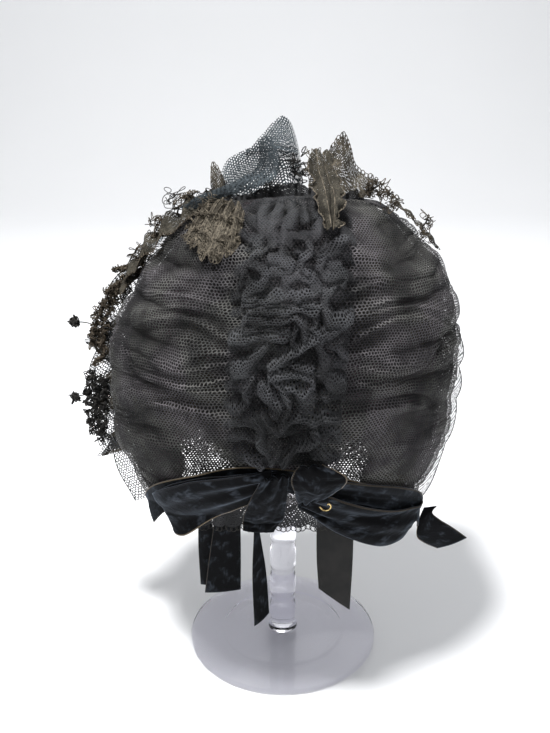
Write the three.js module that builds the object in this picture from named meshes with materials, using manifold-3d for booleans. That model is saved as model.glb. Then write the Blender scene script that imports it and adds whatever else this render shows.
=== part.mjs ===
// A gathered net bonnet with a velvet bow and lace trimming, on its clear display stand.
// Millimetres, +Z up. The stand's foot is centred on the origin, the face opening looks along +Y
// and the gathered back of the crown along -Y. Named sizes first, then one function for each piece.
import * as THREE from "three";
import { mergeVertices } from "three/addons/utils/BufferGeometryUtils.js";
import Module from "manifold-3d";

// Clearances and walls
const CLEARANCE = 0.3; // between pieces that touch
const NET_WALL = 1.2;
const RUCHE_WALL = 2; // square to the crown, so thinner on the steep side of a fold
const LINING_WALL = 1.4;
const BRIM_WALL = 1.6;
const RIBBON_WALL = 1.2;
const LACE_WALL = 1.2;

// Stand
const FOOT_RADIUS = 71;
const FOOT_THICKNESS = 4;
const STEP_RADIUS = 46;
const STEP_THICKNESS = 2.5;
const STEM_RADIUS = 10;
const STEM_WAIST = 8.5;
const BEAD_LENGTH = 24;
const STEM_BEADS = 6;
const STEM_RING_RADIUS = 11;
const STEM_RING_HEIGHT = 3;
const CAP_RADIUS = 34;
const CAP_RISE = 12;
const CAP_EDGE = 4;

// Crown
const BONNET_SHIFT = -1; // the bonnet hangs this far to the right of the stem
const CROWN_HALF_WIDTH = 119;
const CROWN_HEIGHT = 196; // from the middle of the neck edge to the top
const CROWN_DEPTH = 92; // from its widest section to the back
const NECK_HEIGHT = 147; // of the neck edge's middle above the table
const NECK_DROP = 30; // how much lower the neck edge is at the cheeks
const ROW_TURN = THREE.MathUtils.degToRad(110); // of each row, from the back round to the front hoop
const FOLD_DEPTH = 6.5;

// Centre ruching
const RUCHE_HALF_WIDTH = 33;
const RUCHE_RISE = 9;
const RUCHE_RIDGES = 12;

// Brown under cap
const LINING_GAP = 15; // behind the crown

// Brim and the frill round the hoop
const BRIM_LENGTH = 46;
const BRIM_FLARE = 9;
const BRIM_CHEEK_SHARE = 0.3; // of the length that is left at the cheeks
const FRILL_WIDTH = 24;
const FRILL_RIPPLE = 4;
const FRILL_WAVES = 20;

// Velvet
const RIBBON_WIDTH = 26;
const BOW_RISE = 11; // how far the bow stands off the crown
const CURTAIN_LENGTH = 17;
const CURTAIN_RIPPLE = 1.6;
const CURTAIN_WAVES = 7;
const HOOK_WIRE = 0.9;
const HOOK_LENGTH = 7;

// Trimming
const TRIM_RISE = 12; // how far the gathered lace stands off the crown
const LACE_HEIGHT = 42; // of the tallest lace point above the crown
const NET_LOOP_HEIGHT = 51;
const STANDING_RIPPLE = 2.5; // of the standing lace's free edge, each way
const BUD_RADIUS = 5;
const BUD_SHOULDER = 0.66; // height of its widest rings from the middle, as a share of the radius
const BUD_STEM = 8;
const BUD_STEM_RADIUS = 1.2;

const wasm = await Module();
wasm.setup();

const V = (x, y, z) => new THREE.Vector3(x, y, z);
const mix = THREE.MathUtils.lerp;
const clamp = THREE.MathUtils.clamp;
const smooth = THREE.MathUtils.smoothstep;

// A smooth curve through a table: the value of one column where the first column has the value at.
function column(table, name, at) {
  const key = Object.keys(table[0])[0];
  let i = 0;
  while (i < table.length - 2 && table[i + 1][key] < at) i++;
  const before = table[Math.max(i - 1, 0)];
  const [a, b] = [table[i], table[i + 1]];
  const after = table[Math.min(i + 2, table.length - 1)];
  const span = b[key] - a[key];
  const t = clamp((at - a[key]) / span, 0, 1);
  const slopeA = ((b[name] - before[name]) / (b[key] - before[key])) * span;
  const slopeB = ((after[name] - a[name]) / (after[key] - a[key])) * span;
  const [t2, t3] = [t * t, t * t * t];
  return (
    (2 * t3 - 3 * t2 + 1) * a[name] + (t3 - 2 * t2 + t) * slopeA +
    (3 * t2 - 2 * t3) * b[name] + (t3 - t2) * slopeB
  );
}

// A surface's normal at (u, v), by small steps that stay inside the sheet.
function normalAt(surface, u, v) {
  const step = 0.004;
  const [u0, u1] = [Math.max(u - step, 0), Math.min(u + step, 1)];
  const [v0, v1] = [Math.max(v - step, 0), Math.min(v + step, 1)];
  const across = surface(u1, v).sub(surface(u0, v));
  const along = surface(u, v1).sub(surface(u, v0));
  return across.cross(along).normalize();
}

// A closed wall between two skins, each a function of (u, v) from 0 to 1. The first faces outwards.
function wallBetween(outer, inner, columns, rows) {
  const points = [];
  for (const skin of [outer, inner]) {
    for (let j = 0; j <= rows; j++) {
      for (let i = 0; i <= columns; i++) points.push(skin(i / columns, j / rows));
    }
  }
  const wide = columns + 1;
  const back = wide * (rows + 1);
  const faces = [];
  const quad = (a, b, c, d) => faces.push(a, b, c, a, c, d);
  for (let j = 0; j < rows; j++) {
    for (let i = 0; i < columns; i++) {
      const a = j * wide + i;
      quad(a, a + 1, a + 1 + wide, a + wide);
      quad(back + a, back + a + wide, back + a + 1 + wide, back + a + 1);
    }
  }
  for (let i = 0; i < columns; i++) {
    const top = rows * wide + i;
    quad(i, back + i, back + i + 1, i + 1);
    quad(top, top + 1, back + top + 1, back + top);
  }
  for (let j = 0; j < rows; j++) {
    const left = j * wide;
    const right = left + columns;
    quad(left, left + wide, back + left + wide, back + left);
    quad(right, back + right, back + right + wide, right + wide);
  }
  const geometry = new THREE.BufferGeometry().setFromPoints(points);
  geometry.setIndex(faces);
  return geometry;
}

// A closed wall of even thickness about a free surface.
function wallAbout(surface, columns, rows, wall) {
  const skin = (side) => (u, v) => surface(u, v).addScaledVector(normalAt(surface, u, v), (side * wall) / 2);
  return wallBetween(skin(1), skin(-1), columns, rows);
}

// A closed wall that lies along the crown: at (u, v) it has a turn, a seam share and a distance off.
function wallOnCrown(lie, columns, rows, wall) {
  const skin = (side) => (u, v) => {
    const at = lie(u, v);
    return place(at.turn, at.seam, at.off + (side * wall) / 2);
  };
  return wallBetween(skin(1), skin(-1), columns, rows);
}

// The lie of a strip whose two edges are given by the rows of a table, from one end to the other.
// low and high are the edges, each with its turn, its seam share and its distance off the crown.
function stripLie(rows) {
  const table = rows.map((row, i) => ({ at: i / (rows.length - 1), ...row }));
  return (u, v) => ({
    turn: mix(column(table, "highTurn", v), column(table, "lowTurn", v), u),
    seam: mix(column(table, "highSeam", v), column(table, "lowSeam", v), u),
    off: mix(column(table, "highOff", v), column(table, "lowOff", v), u),
  });
}

const stripSurface = (rows) => {
  const lie = stripLie(rows);
  return (u, v) => {
    const at = lie(u, v);
    return place(at.turn, at.seam, at.off);
  };
};

// A ribbon that hangs free: each row has its middle, the direction of its width on the ground and its width.
function hangingSurface(rows) {
  const table = rows.map((row, i) => ({ at: i / (rows.length - 1), slant: 0, ...row }));
  return (u, v) => {
    const read = (name) => column(table, name, v);
    const share = (2 * u - 1) / 2;
    const reach = share * read("width");
    return V(
      read("x") + reach * Math.cos(read("heading")),
      read("y") + reach * Math.sin(read("heading")),
      read("z") + share * read("slant"),
    );
  };
}

const part = new THREE.Group();
const bonnet = new THREE.Group();
bonnet.position.x = BONNET_SHIFT;
part.add(bonnet);

const paint = (color, roughness, metalness = 0) =>
  new THREE.MeshStandardMaterial({ color, roughness, metalness });
const acrylic = paint(0xe4e6ee, 0.2);
const blackNet = paint(0x3b3c3e, 0.85);
const greyNet = paint(0x4c565e, 0.85);
const brownCloth = paint(0x4a3a36, 0.9);
const velvet = paint(0x0c0e12, 0.95);
const brownLace = paint(0x5c5142, 0.9);
const tanLace = paint(0x8a7a5c, 0.9);
const budBrown = paint(0x2a231d, 0.9);
const brass = paint(0xb08d4a, 0.35, 1);

// Moves a geometry along a direction until it lies CLEARANCE from the first of the meshes in its way.
function seat(geometry, direction, names, reach) {
  const solid = solidOf(geometry);
  const others = names.map((name) => solidOf(made[name]));
  const meets = (d) => {
    const moved = solid.translate(direction.x * d, direction.y * d, direction.z * d);
    return others.some((other) => moved.intersect(other).volume() > 1e-6);
  };
  let clear = 0;
  while (clear < reach && !meets(clear + 1)) clear += 1;
  for (let step = 0.5; step > 0.01; step /= 2) {
    if (!meets(clear + step)) clear += step;
  }
  const way = direction.clone().multiplyScalar(clear - CLEARANCE);
  return geometry.translate(way.x, way.y, way.z);
}

function solidOf(geometry) {
  const bare = new THREE.BufferGeometry();
  bare.setAttribute("position", geometry.getAttribute("position"));
  if (geometry.index) bare.setIndex(geometry.index);
  const merged = mergeVertices(bare, 1e-4);
  return new wasm.Manifold(
    new wasm.Mesh({
      numProp: 3,
      vertProperties: new Float32Array(merged.attributes.position.array),
      triVerts: new Uint32Array(merged.index.array),
    }),
  );
}

const made = {};

function add(group, name, geometry, material) {
  made[name] = geometry;
  const mesh = new THREE.Mesh(geometry, material);
  mesh.name = name;
  group.add(mesh);
}

// Crown sections, one for each row of the crown: at is its share of the back seam, from the neck edge up.
// back, forward and lean place it, width is half its width, rise its height and drop how far its ends fall.
const CROWN_SECTIONS = [
  { at: 0, back: 0.652, rise: 0, width: 0.82, drop: 1, forward: -0.1, lean: 0 },
  { at: 0.14, back: 0.87, rise: 0.17, width: 0.955, drop: 0.72, forward: -0.065, lean: 0 },
  { at: 0.3, back: 0.985, rise: 0.355, width: 1, drop: 0.6, forward: -0.02, lean: 0 },
  { at: 0.48, back: 1, rise: 0.575, width: 0.99, drop: 0.55, forward: 0, lean: 0.02 },
  { at: 0.64, back: 0.89, rise: 0.755, width: 0.9, drop: 0.5, forward: 0.04, lean: 0.06 },
  { at: 0.79, back: 0.6, rise: 0.91, width: 0.7, drop: 0.48, forward: 0.11, lean: 0.07 },
  { at: 0.91, back: 0.2, rise: 0.985, width: 0.51, drop: 0.34, forward: 0.2, lean: 0.07 },
  { at: 1, back: -0.24, rise: 0.97, width: 0.3, drop: 0.12, forward: 0.34, lean: 0.07 },
];

// How far a row turns round from the back to the hoop: a quarter turn at the top of the hoop.
const rowTurn = (v) => mix(ROW_TURN, Math.PI / 2, smooth(v, 0.85, 1));

// The crown without its folds. u runs from 0 at the left of the hoop to 1 at its right, v up the seam.
function crownForm(u, v) {
  const read = (name) => column(CROWN_SECTIONS, name, v);
  const share = 2 * u - 1;
  const turn = Math.abs(share) * rowTurn(v);
  const forward = read("forward") * CROWN_DEPTH;
  const depth = forward + read("back") * CROWN_DEPTH;
  return V(
    read("lean") * CROWN_HALF_WIDTH + Math.sign(share) * read("width") * CROWN_HALF_WIDTH * Math.sin(turn),
    forward - depth * Math.cos(turn),
    NECK_HEIGHT + read("rise") * CROWN_HEIGHT - read("drop") * NECK_DROP * Math.pow(Math.abs(share), 1.7),
  );
}

// A point off the crown. turn runs from -1 to 1 round a row, and a seam share below 0 hangs under the neck.
function place(turn, seam, off) {
  const u = clamp((turn + 1) / 2, 0, 1);
  const v = clamp(seam, 0, 1);
  const point = crownForm(u, v);
  const normal = normalAt(crownForm, u, v);
  const level = smooth(seam, -0.06, 0.1);
  normal.z *= level;
  point.addScaledVector(normal.normalize(), off);
  point.z += Math.min(seam, 0) * CROWN_HEIGHT;
  return point;
}

// The valleys between the crown's puffs: where each leaves the ruching and meets the hoop, as seam shares,
// how far it bows between, and its depth as a share of FOLD_DEPTH.
const CROWN_FOLDS = [
  { side: -1, from: 0.78, to: 0.86, bow: 0.02, depth: 0.9, width: 0.034 },
  { side: -1, from: 0.68, to: 0.74, bow: 0.02, depth: 1, width: 0.032 },
  { side: -1, from: 0.58, to: 0.62, bow: 0.01, depth: 1, width: 0.03 },
  { side: -1, from: 0.48, to: 0.5, bow: 0.03, depth: 1, width: 0.03 },
  { side: -1, from: 0.38, to: 0.36, bow: 0.03, depth: 1, width: 0.032 },
  { side: -1, from: 0.27, to: 0.22, bow: 0.01, depth: 0.8, width: 0.028 },
  { side: 1, from: 0.77, to: 0.9, bow: 0.01, depth: 0.9, width: 0.034 },
  { side: 1, from: 0.68, to: 0.79, bow: 0.01, depth: 1, width: 0.034 },
  { side: 1, from: 0.59, to: 0.67, bow: 0.01, depth: 0.9, width: 0.03 },
  { side: 1, from: 0.49, to: 0.54, bow: -0.01, depth: 0.9, width: 0.03 },
  { side: 1, from: 0.4, to: 0.44, bow: -0.01, depth: 1, width: 0.03 },
  { side: 1, from: 0.3, to: 0.3, bow: 0.01, depth: 0.8, width: 0.03 },
];

function crownFold(u, v) {
  const share = 2 * u - 1;
  const out = Math.abs(share);
  const ends = smooth(v, 0.1, 0.22) * (1 - smooth(v, 0.84, 0.93));
  let sum = 0;
  for (const fold of CROWN_FOLDS) {
    if (fold.side * share <= 0) continue;
    const line = mix(fold.from, fold.to, out) + fold.bow * Math.sin(Math.PI * out);
    sum += fold.depth * Math.exp(-(((v - line) / fold.width) ** 2));
  }
  return -FOLD_DEPTH * sum * smooth(out, 0.24, 0.5) * ends;
}

function crown() {
  const surface = (u, v) => crownForm(u, v).addScaledVector(normalAt(crownForm, u, v), crownFold(u, v));
  add(bonnet, "crown", wallAbout(surface, 26, 26, NET_WALL), blackNet);
}

// Three columns of close puffs over the crown's back, gathered on four rows of stitches.
const RUCHE_STITCHES = [-1, -0.42, 0.42, 1]; // shares of the half width
const RUCHE_SPAN = { start: 0.195, end: 0.915 }; // seam shares
const RUCHE_OFF = NET_WALL / 2 + CLEARANCE + RUCHE_WALL / 2;

function ruching() {
  const lie = (u, v) => {
    const columns = RUCHE_STITCHES.length - 1;
    const k = Math.min(Math.floor(columns * u + 1e-6), columns - 1);
    const within = columns * u - k;
    const share = mix(RUCHE_STITCHES[k], RUCHE_STITCHES[k + 1], within);
    const puff = Math.sqrt(Math.abs(Math.sin(Math.PI * within)));
    const wander = 0.12 * Math.sin(9 * v + 2 * k) + 0.18 * (k - 1) * Math.sin(Math.PI * within);
    const ridge = 0.5 - 0.5 * Math.cos(2 * Math.PI * (RUCHE_RIDGES * v + 0.5 * k + wander));
    const ends = smooth(v, 0, 0.04) * (1 - smooth(v, 0.96, 1));
    const seam = mix(RUCHE_SPAN.start, RUCHE_SPAN.end, v);
    const crownHalf = column(CROWN_SECTIONS, "width", seam) * CROWN_HALF_WIDTH;
    const turn = Math.asin((share * Math.min(RUCHE_HALF_WIDTH, 0.8 * crownHalf)) / crownHalf);
    return { turn: turn / rowTurn(seam), seam, off: RUCHE_OFF + RUCHE_RISE * ends * puff * ridge };
  };
  add(bonnet, "centre_ruching", wallOnCrown(lie, 9, 4 * RUCHE_RIDGES, RUCHE_WALL), blackNet);
}

// The brown cap under the net meets the crown again round the hoop. Its nape edge, by turn and seam share,
// is worn back to either side of the middle, where only the net is left.
const LINING_EDGE = [
  { turn: -1, seam: 0.03 },
  { turn: -0.52, seam: 0.03 },
  { turn: -0.42, seam: 0.13 },
  { turn: -0.3, seam: 0.26 },
  { turn: -0.2, seam: 0.22 },
  { turn: -0.08, seam: 0.12 },
  { turn: 0.1, seam: 0.1 },
  { turn: 0.22, seam: 0.2 },
  { turn: 0.32, seam: 0.16 },
  { turn: 0.44, seam: 0.03 },
  { turn: 1, seam: 0.03 },
];

function underCrown() {
  const rest = NET_WALL / 2 + 3 * CLEARANCE + LINING_WALL / 2;
  const lie = (u, v) => {
    const turn = 2 * u - 1;
    const seam = mix(column(LINING_EDGE, "seam", turn), 1, v);
    const underFolds = 1.15 * FOLD_DEPTH * (1 - smooth(seam, 0.9, 1));
    const free = (1 - smooth(Math.abs(turn), 0.75, 1)) * (1 - smooth(seam, 0.86, 1));
    return { turn, seam, off: -rest - underFolds - (LINING_GAP - FOLD_DEPTH) * free };
  };
  add(bonnet, "under_crown", wallOnCrown(lie, 28, 12, LINING_WALL), brownCloth);
}

// The hoop is the crown's front edge: up the left side, over the top and down the right, for h from 0 to 1.
function hoopPoint(h) {
  if (h < 0.4) return crownForm(0, h / 0.4);
  if (h < 0.6) return crownForm((h - 0.4) / 0.2, 1);
  return crownForm(1, (1 - h) / 0.4);
}

// A point by the hoop: out is its distance outwards from the hoop, ahead its distance towards the face.
function byHoop(h, out, ahead) {
  const step = 0.03;
  const point = hoopPoint(h);
  const along = hoopPoint(Math.min(h + step, 1)).sub(hoopPoint(Math.max(h - step, 0)));
  const outward = V(-along.z, 0, along.x).normalize();
  return point.addScaledVector(outward, out).add(V(0, ahead, 0));
}

// Rows round the hoop: the frill's width, as a share of FRILL_WIDTH.
const FRILL_ROWS = [
  { at: 0, width: 0.8 },
  { at: 0.12, width: 1.15 },
  { at: 0.24, width: 0.8 },
  { at: 0.33, width: 0.3 },
  { at: 0.5, width: 0.1 },
  { at: 0.68, width: 0.05 },
  { at: 0.76, width: 0.3 },
  { at: 0.86, width: 0.8 },
  { at: 1, width: 0.6 },
];
const FRILL_AHEAD = 1.5 * NET_WALL + CLEARANCE;
const BRIM_AHEAD = FRILL_AHEAD + 2 * NET_WALL + 2 * CLEARANCE;
const HOOP_FOOT = 2; // how far the frill's sewn edge reaches inside the hoop

function brimFrill() {
  const surface = (u, v) => {
    const width = column(FRILL_ROWS, "width", v) * FRILL_WIDTH;
    const out = mix(-HOOP_FOOT, width, u);
    const free = smooth(out, 0, FRILL_RIPPLE);
    return byHoop(v, out, FRILL_AHEAD + FRILL_RIPPLE * 0.5 * free * Math.sin(2 * Math.PI * FRILL_WAVES * v));
  };
  add(bonnet, "brim_frill", wallAbout(surface, 2, 4 * FRILL_WAVES, NET_WALL), blackNet);
}

function brim() {
  const surface = (u, v) => {
    const length = BRIM_LENGTH * mix(BRIM_CHEEK_SHARE, 1, Math.sin(Math.PI * v));
    const flare = BRIM_FLARE * Math.abs(Math.cos(Math.PI * v)) * (1 - u);
    const point = byHoop(v, flare, BRIM_AHEAD + length * (1 - u));
    point.z -= 0.3 * length * (1 - u) * Math.sin(Math.PI * v);
    return point;
  };
  add(bonnet, "brim", wallAbout(surface, 3, 22, BRIM_WALL), blackNet);
}

// Velvet round the neck, from the left cheek to the right, by its lower and upper edge.
const BAND_OFF = NET_WALL / 2 + 2 * CLEARANCE + RIBBON_WALL / 2;
const BACK_LOOP_OFF = BAND_OFF + RIBBON_WALL + CLEARANCE;
const NECK_BAND = [
  { lowTurn: -0.6, lowSeam: -0.09, highTurn: -0.66, highSeam: 0.015 },
  { lowTurn: -0.46, lowSeam: -0.02, highTurn: -0.46, highSeam: 0.075 },
  { lowTurn: -0.28, lowSeam: 0.03, highTurn: -0.28, highSeam: 0.125 },
  { lowTurn: -0.1, lowSeam: 0.08, highTurn: -0.1, highSeam: 0.175 },
  { lowTurn: 0.12, lowSeam: 0.05, highTurn: 0.12, highSeam: 0.145 },
  { lowTurn: 0.32, lowSeam: -0.01, highTurn: 0.32, highSeam: 0.08 },
  { lowTurn: 0.6, lowSeam: -0.07, highTurn: 0.6, highSeam: 0.02 },
  { lowTurn: 0.82, lowSeam: -0.13, highTurn: 0.9, highSeam: 0.01 },
];

function neckBand() {
  const rows = NECK_BAND.map((row) => ({ ...row, lowOff: BAND_OFF, highOff: BAND_OFF }));
  add(bonnet, "neck_band", wallOnCrown(stripLie(rows), 2, 20, RIBBON_WALL), velvet);
}

// Each bow loop goes out from the knot, turns over at its end and comes back: rows with both edges, and how
// far the ribbon stands off, as a share of BOW_RISE.
const LEFT_LOOP = [
  { lowTurn: -0.02, lowSeam: 0.1, highTurn: -0.02, highSeam: 0.17, rise: 0 },
  { lowTurn: -0.18, lowSeam: 0.04, highTurn: -0.2, highSeam: 0.14, rise: 0 },
  { lowTurn: -0.34, lowSeam: -0.07, highTurn: -0.38, highSeam: 0.09, rise: 0.06 },
  { lowTurn: -0.42, lowSeam: -0.09, highTurn: -0.48, highSeam: 0.05, rise: 0.36 },
  { lowTurn: -0.35, lowSeam: -0.09, highTurn: -0.42, highSeam: 0.09, rise: 0.72 },
  { lowTurn: -0.2, lowSeam: 0.01, highTurn: -0.24, highSeam: 0.15, rise: 0.7 },
  { lowTurn: -0.03, lowSeam: 0.11, highTurn: -0.03, highSeam: 0.185, rise: 0.42 },
];
const RIGHT_LOOP = [
  { lowTurn: 0.05, lowSeam: 0.06, highTurn: 0.07, highSeam: 0.155, rise: 0 },
  { lowTurn: 0.25, lowSeam: -0.01, highTurn: 0.3, highSeam: 0.1, rise: 0.05 },
  { lowTurn: 0.46, lowSeam: -0.08, highTurn: 0.56, highSeam: 0.045, rise: 0.2 },
  { lowTurn: 0.5, lowSeam: -0.12, highTurn: 0.61, highSeam: 0.01, rise: 0.5 },
  { lowTurn: 0.36, lowSeam: -0.135, highTurn: 0.4, highSeam: 0.02, rise: 0.85 },
  { lowTurn: 0.18, lowSeam: -0.07, highTurn: 0.21, highSeam: 0.075, rise: 0.8 },
  { lowTurn: 0.05, lowSeam: 0.04, highTurn: 0.06, highSeam: 0.12, rise: 0.45 },
];

function bowLoop(name, table) {
  const rows = table.map((row) => {
    const off = BACK_LOOP_OFF + row.rise * BOW_RISE;
    return { ...row, lowOff: off, highOff: off };
  });
  add(bonnet, name, wallAbout(stripSurface(rows), 3, 20, RIBBON_WALL), velvet);
}

const KNOT_OFF = BACK_LOOP_OFF + 0.45 * BOW_RISE + RIBBON_WALL + CLEARANCE + 1;
const KNOT = [
  { lowTurn: 0.04, lowSeam: 0.22, highTurn: 0.1, highSeam: 0.22, rise: 0 },
  { lowTurn: 0.02, lowSeam: 0.19, highTurn: 0.165, highSeam: 0.185, rise: 0.35 },
  { lowTurn: 0.03, lowSeam: 0.145, highTurn: 0.14, highSeam: 0.135, rise: 0.35 },
  { lowTurn: 0.04, lowSeam: 0.09, highTurn: 0.09, highSeam: 0.09, rise: 0 },
];
const KNOT_TAIL = [
  { lowTurn: 0.015, lowSeam: 0.185, highTurn: -0.05, highSeam: 0.175, rise: 0.42 },
  { lowTurn: 0.01, lowSeam: 0.1, highTurn: -0.1, highSeam: 0.09, rise: 0.7 },
  { lowTurn: 0, lowSeam: 0.02, highTurn: -0.13, highSeam: 0.01, rise: 1 },
  { lowTurn: -0.03, lowSeam: -0.05, highTurn: -0.13, highSeam: -0.045, rise: 1.1 },
];

function knot() {
  const lift = (table, base) => table.map((row) => {
    const off = base + row.rise * BOW_RISE;
    return { ...row, lowOff: off, highOff: off };
  });
  add(bonnet, "bow_knot", wallAbout(stripSurface(lift(KNOT, KNOT_OFF)), 3, 8, RIBBON_WALL), velvet);
  const tail = stripSurface(lift(KNOT_TAIL, BACK_LOOP_OFF + 2));
  add(bonnet, "knot_tail", wallAbout(tail, 3, 8, RIBBON_WALL), velvet);
}

// The net curtain over the nape, sewn inside the crown's neck edge.
const CURTAIN_TURN = { left: -0.46, right: 0.4 };
const CURTAIN_SEWN = 0.025; // seam share that overlaps the crown
const CURTAIN_OFF = -(1.5 * NET_WALL + CLEARANCE);

function neckCurtain() {
  const lie = (u, v) => {
    const seam = v < 2 / 3 ? mix(-CURTAIN_LENGTH / CROWN_HEIGHT, 0, 1.5 * v) : CURTAIN_SEWN * (3 * v - 2);
    const wave = 0.5 - 0.5 * Math.cos(2 * Math.PI * CURTAIN_WAVES * u);
    const turn = mix(CURTAIN_TURN.left, CURTAIN_TURN.right, u);
    return { turn, seam, off: CURTAIN_OFF - CURTAIN_RIPPLE * wave * Math.max(0, 1 - 1.5 * v) };
  };
  add(bonnet, "neck_curtain", wallOnCrown(lie, 4 * CURTAIN_WAVES, 3, NET_WALL), blackNet);
}

// The loose ribbon ends, pinned to the curtain's inner face. lengths and widths are shares of drop and of
// RIBBON_WIDTH, drift carries the end sideways and slant tips its cut edge.
const END_LENGTHS = [0, 0.2, 0.6, 1];
const RIBBON_ENDS = {
  ribbon_end_left: { turn: -0.2, widths: [0.6, 0.68, 0.85, 1], drift: -6, drop: 75, slant: 6, inward: 5 },
  ribbon_end_under: { turn: -0.31, widths: [0.3, 0.35, 0.5, 0.5], drift: 2, drop: 72, slant: 4, inward: 9 },
  ribbon_end_thin: { turn: -0.1, widths: [0.14, 0.12, 0.36, 0.4], drift: 4, drop: 98, slant: 12, inward: 5 },
  ribbon_end_right: { turn: 0.2, widths: [0.8, 1, 1, 0.9], drift: 1, drop: 82, slant: -22, inward: 5 },
};

function ribbonEnd(name, end) {
  const bend = CROWN_SECTIONS[0].back * CROWN_DEPTH; // the curtain's radius at the nape
  const sag = (end.widths[0] * RIBBON_WIDTH) ** 2 / (8 * bend); // of the curtain behind a flat ribbon
  const off = CURTAIN_OFF - NET_WALL / 2 - CLEARANCE - RIBBON_WALL / 2 - sag;
  const top = place(end.turn, 0, off);
  const beside = place(end.turn + 0.05, 0, off).sub(top);
  const rows = END_LENGTHS.map((share, i) => ({
    x: top.x + end.drift * share,
    y: top.y + end.inward * Math.min(1, 2.5 * share),
    z: top.z - end.drop * share,
    heading: Math.atan2(beside.y, beside.x),
    width: end.widths[i] * RIBBON_WIDTH,
    slant: end.slant * share * share,
  }));
  add(bonnet, name, wallAbout(hangingSurface(rows.reverse()), 2, 5, RIBBON_WALL), velvet);
}

// The short ribbon tab under the right cheek, from its sewn root to its cut end. It runs out along TAB_WAY.
const TAB_LENGTH = 34;
const TAB_ROOT = { turn: 0.8, seam: -0.12 };
const TAB_WAY = V(0.75, 0.25, -0.6);
const TAB_HEADING = -0.2; // of its width on the ground
const TAB_WIDTHS = { root: 0.6, end: 0.8 }; // shares of RIBBON_WIDTH

function sideTab() {
  const root = place(TAB_ROOT.turn, TAB_ROOT.seam, BAND_OFF + 2 * RIBBON_WALL);
  const rows = [0, 0.35, 0.7, 1].map((share) => ({
    x: root.x + TAB_WAY.x * TAB_LENGTH * share,
    y: root.y + TAB_WAY.y * TAB_LENGTH * share,
    z: root.z + TAB_WAY.z * TAB_LENGTH * share,
    heading: TAB_HEADING,
    width: RIBBON_WIDTH * mix(TAB_WIDTHS.root, TAB_WIDTHS.end, share),
    slant: TAB_WIDTHS.root * RIBBON_WIDTH,
  }));
  add(bonnet, "side_tab", wallAbout(hangingSurface(rows), 2, 4, RIBBON_WALL), velvet);
}

// Gathered lace and net that lie on the crown: rows with both edges, the number of folds and their height.
const LYING_OFF = NET_WALL / 2 + CLEARANCE + LACE_WALL / 2 + 0.2;
const LYING_TRIM = {
  lace_fan: {
    folds: 4, rise: 0.5, material: tanLace,
    rows: [
      { lowTurn: -0.5, lowSeam: 0.77, highTurn: -0.48, highSeam: 0.84 },
      { lowTurn: -0.42, lowSeam: 0.735, highTurn: -0.42, highSeam: 0.87 },
      { lowTurn: -0.32, lowSeam: 0.71, highTurn: -0.34, highSeam: 0.875 },
      { lowTurn: -0.25, lowSeam: 0.75, highTurn: -0.27, highSeam: 0.86 },
    ],
  },
  lace_strip_left: {
    folds: 6, rise: 0.8, material: brownLace,
    rows: [
      { lowTurn: -0.87, lowSeam: 0.55, highTurn: -0.95, highSeam: 0.58 },
      { lowTurn: -0.8, lowSeam: 0.63, highTurn: -0.91, highSeam: 0.66 },
      { lowTurn: -0.68, lowSeam: 0.73, highTurn: -0.8, highSeam: 0.79 },
      { lowTurn: -0.56, lowSeam: 0.81, highTurn: -0.68, highSeam: 0.88 },
      { lowTurn: -0.48, lowSeam: 0.885, highTurn: -0.54, highSeam: 0.94 },
    ],
  },
  lace_edge_right: {
    folds: 4, rise: 0.3, material: brownLace,
    rows: [
      { lowTurn: 0.71, lowSeam: 0.88, highTurn: 0.77, highSeam: 0.905 },
      { lowTurn: 0.75, lowSeam: 0.835, highTurn: 0.82, highSeam: 0.86 },
      { lowTurn: 0.78, lowSeam: 0.78, highTurn: 0.86, highSeam: 0.8 },
      { lowTurn: 0.8, lowSeam: 0.72, highTurn: 0.88, highSeam: 0.74 },
    ],
  },
  net_puff: {
    folds: 2, rise: 0.8, material: greyNet,
    rows: [
      { lowTurn: -0.93, lowSeam: 0.675, highTurn: -0.96, highSeam: 0.68 },
      { lowTurn: -0.89, lowSeam: 0.725, highTurn: -0.95, highSeam: 0.74 },
      { lowTurn: -0.85, lowSeam: 0.77, highTurn: -0.93, highSeam: 0.79 },
      { lowTurn: -0.8, lowSeam: 0.82, highTurn: -0.87, highSeam: 0.84 },
    ],
  },
};

function lyingTrim(name, trim) {
  const strip = stripLie(trim.rows.map((row) => ({ ...row, lowOff: LYING_OFF, highOff: LYING_OFF })));
  const lie = (u, v) => {
    const at = strip(u, v);
    const fold = 0.5 - 0.5 * Math.cos(2 * Math.PI * trim.folds * v);
    return { ...at, off: at.off + trim.rise * TRIM_RISE * fold * mix(0.35, 1, 1 - u) };
  };
  const middle = strip(0.5, 0.5);
  const inwards = place(middle.turn, middle.seam, 0).sub(place(middle.turn, middle.seam, 1));
  const geometry = wallOnCrown(lie, 2, 4 * trim.folds, LACE_WALL);
  add(bonnet, name, seat(geometry, inwards, ["crown"], TRIM_RISE), trim.material);
}

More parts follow.
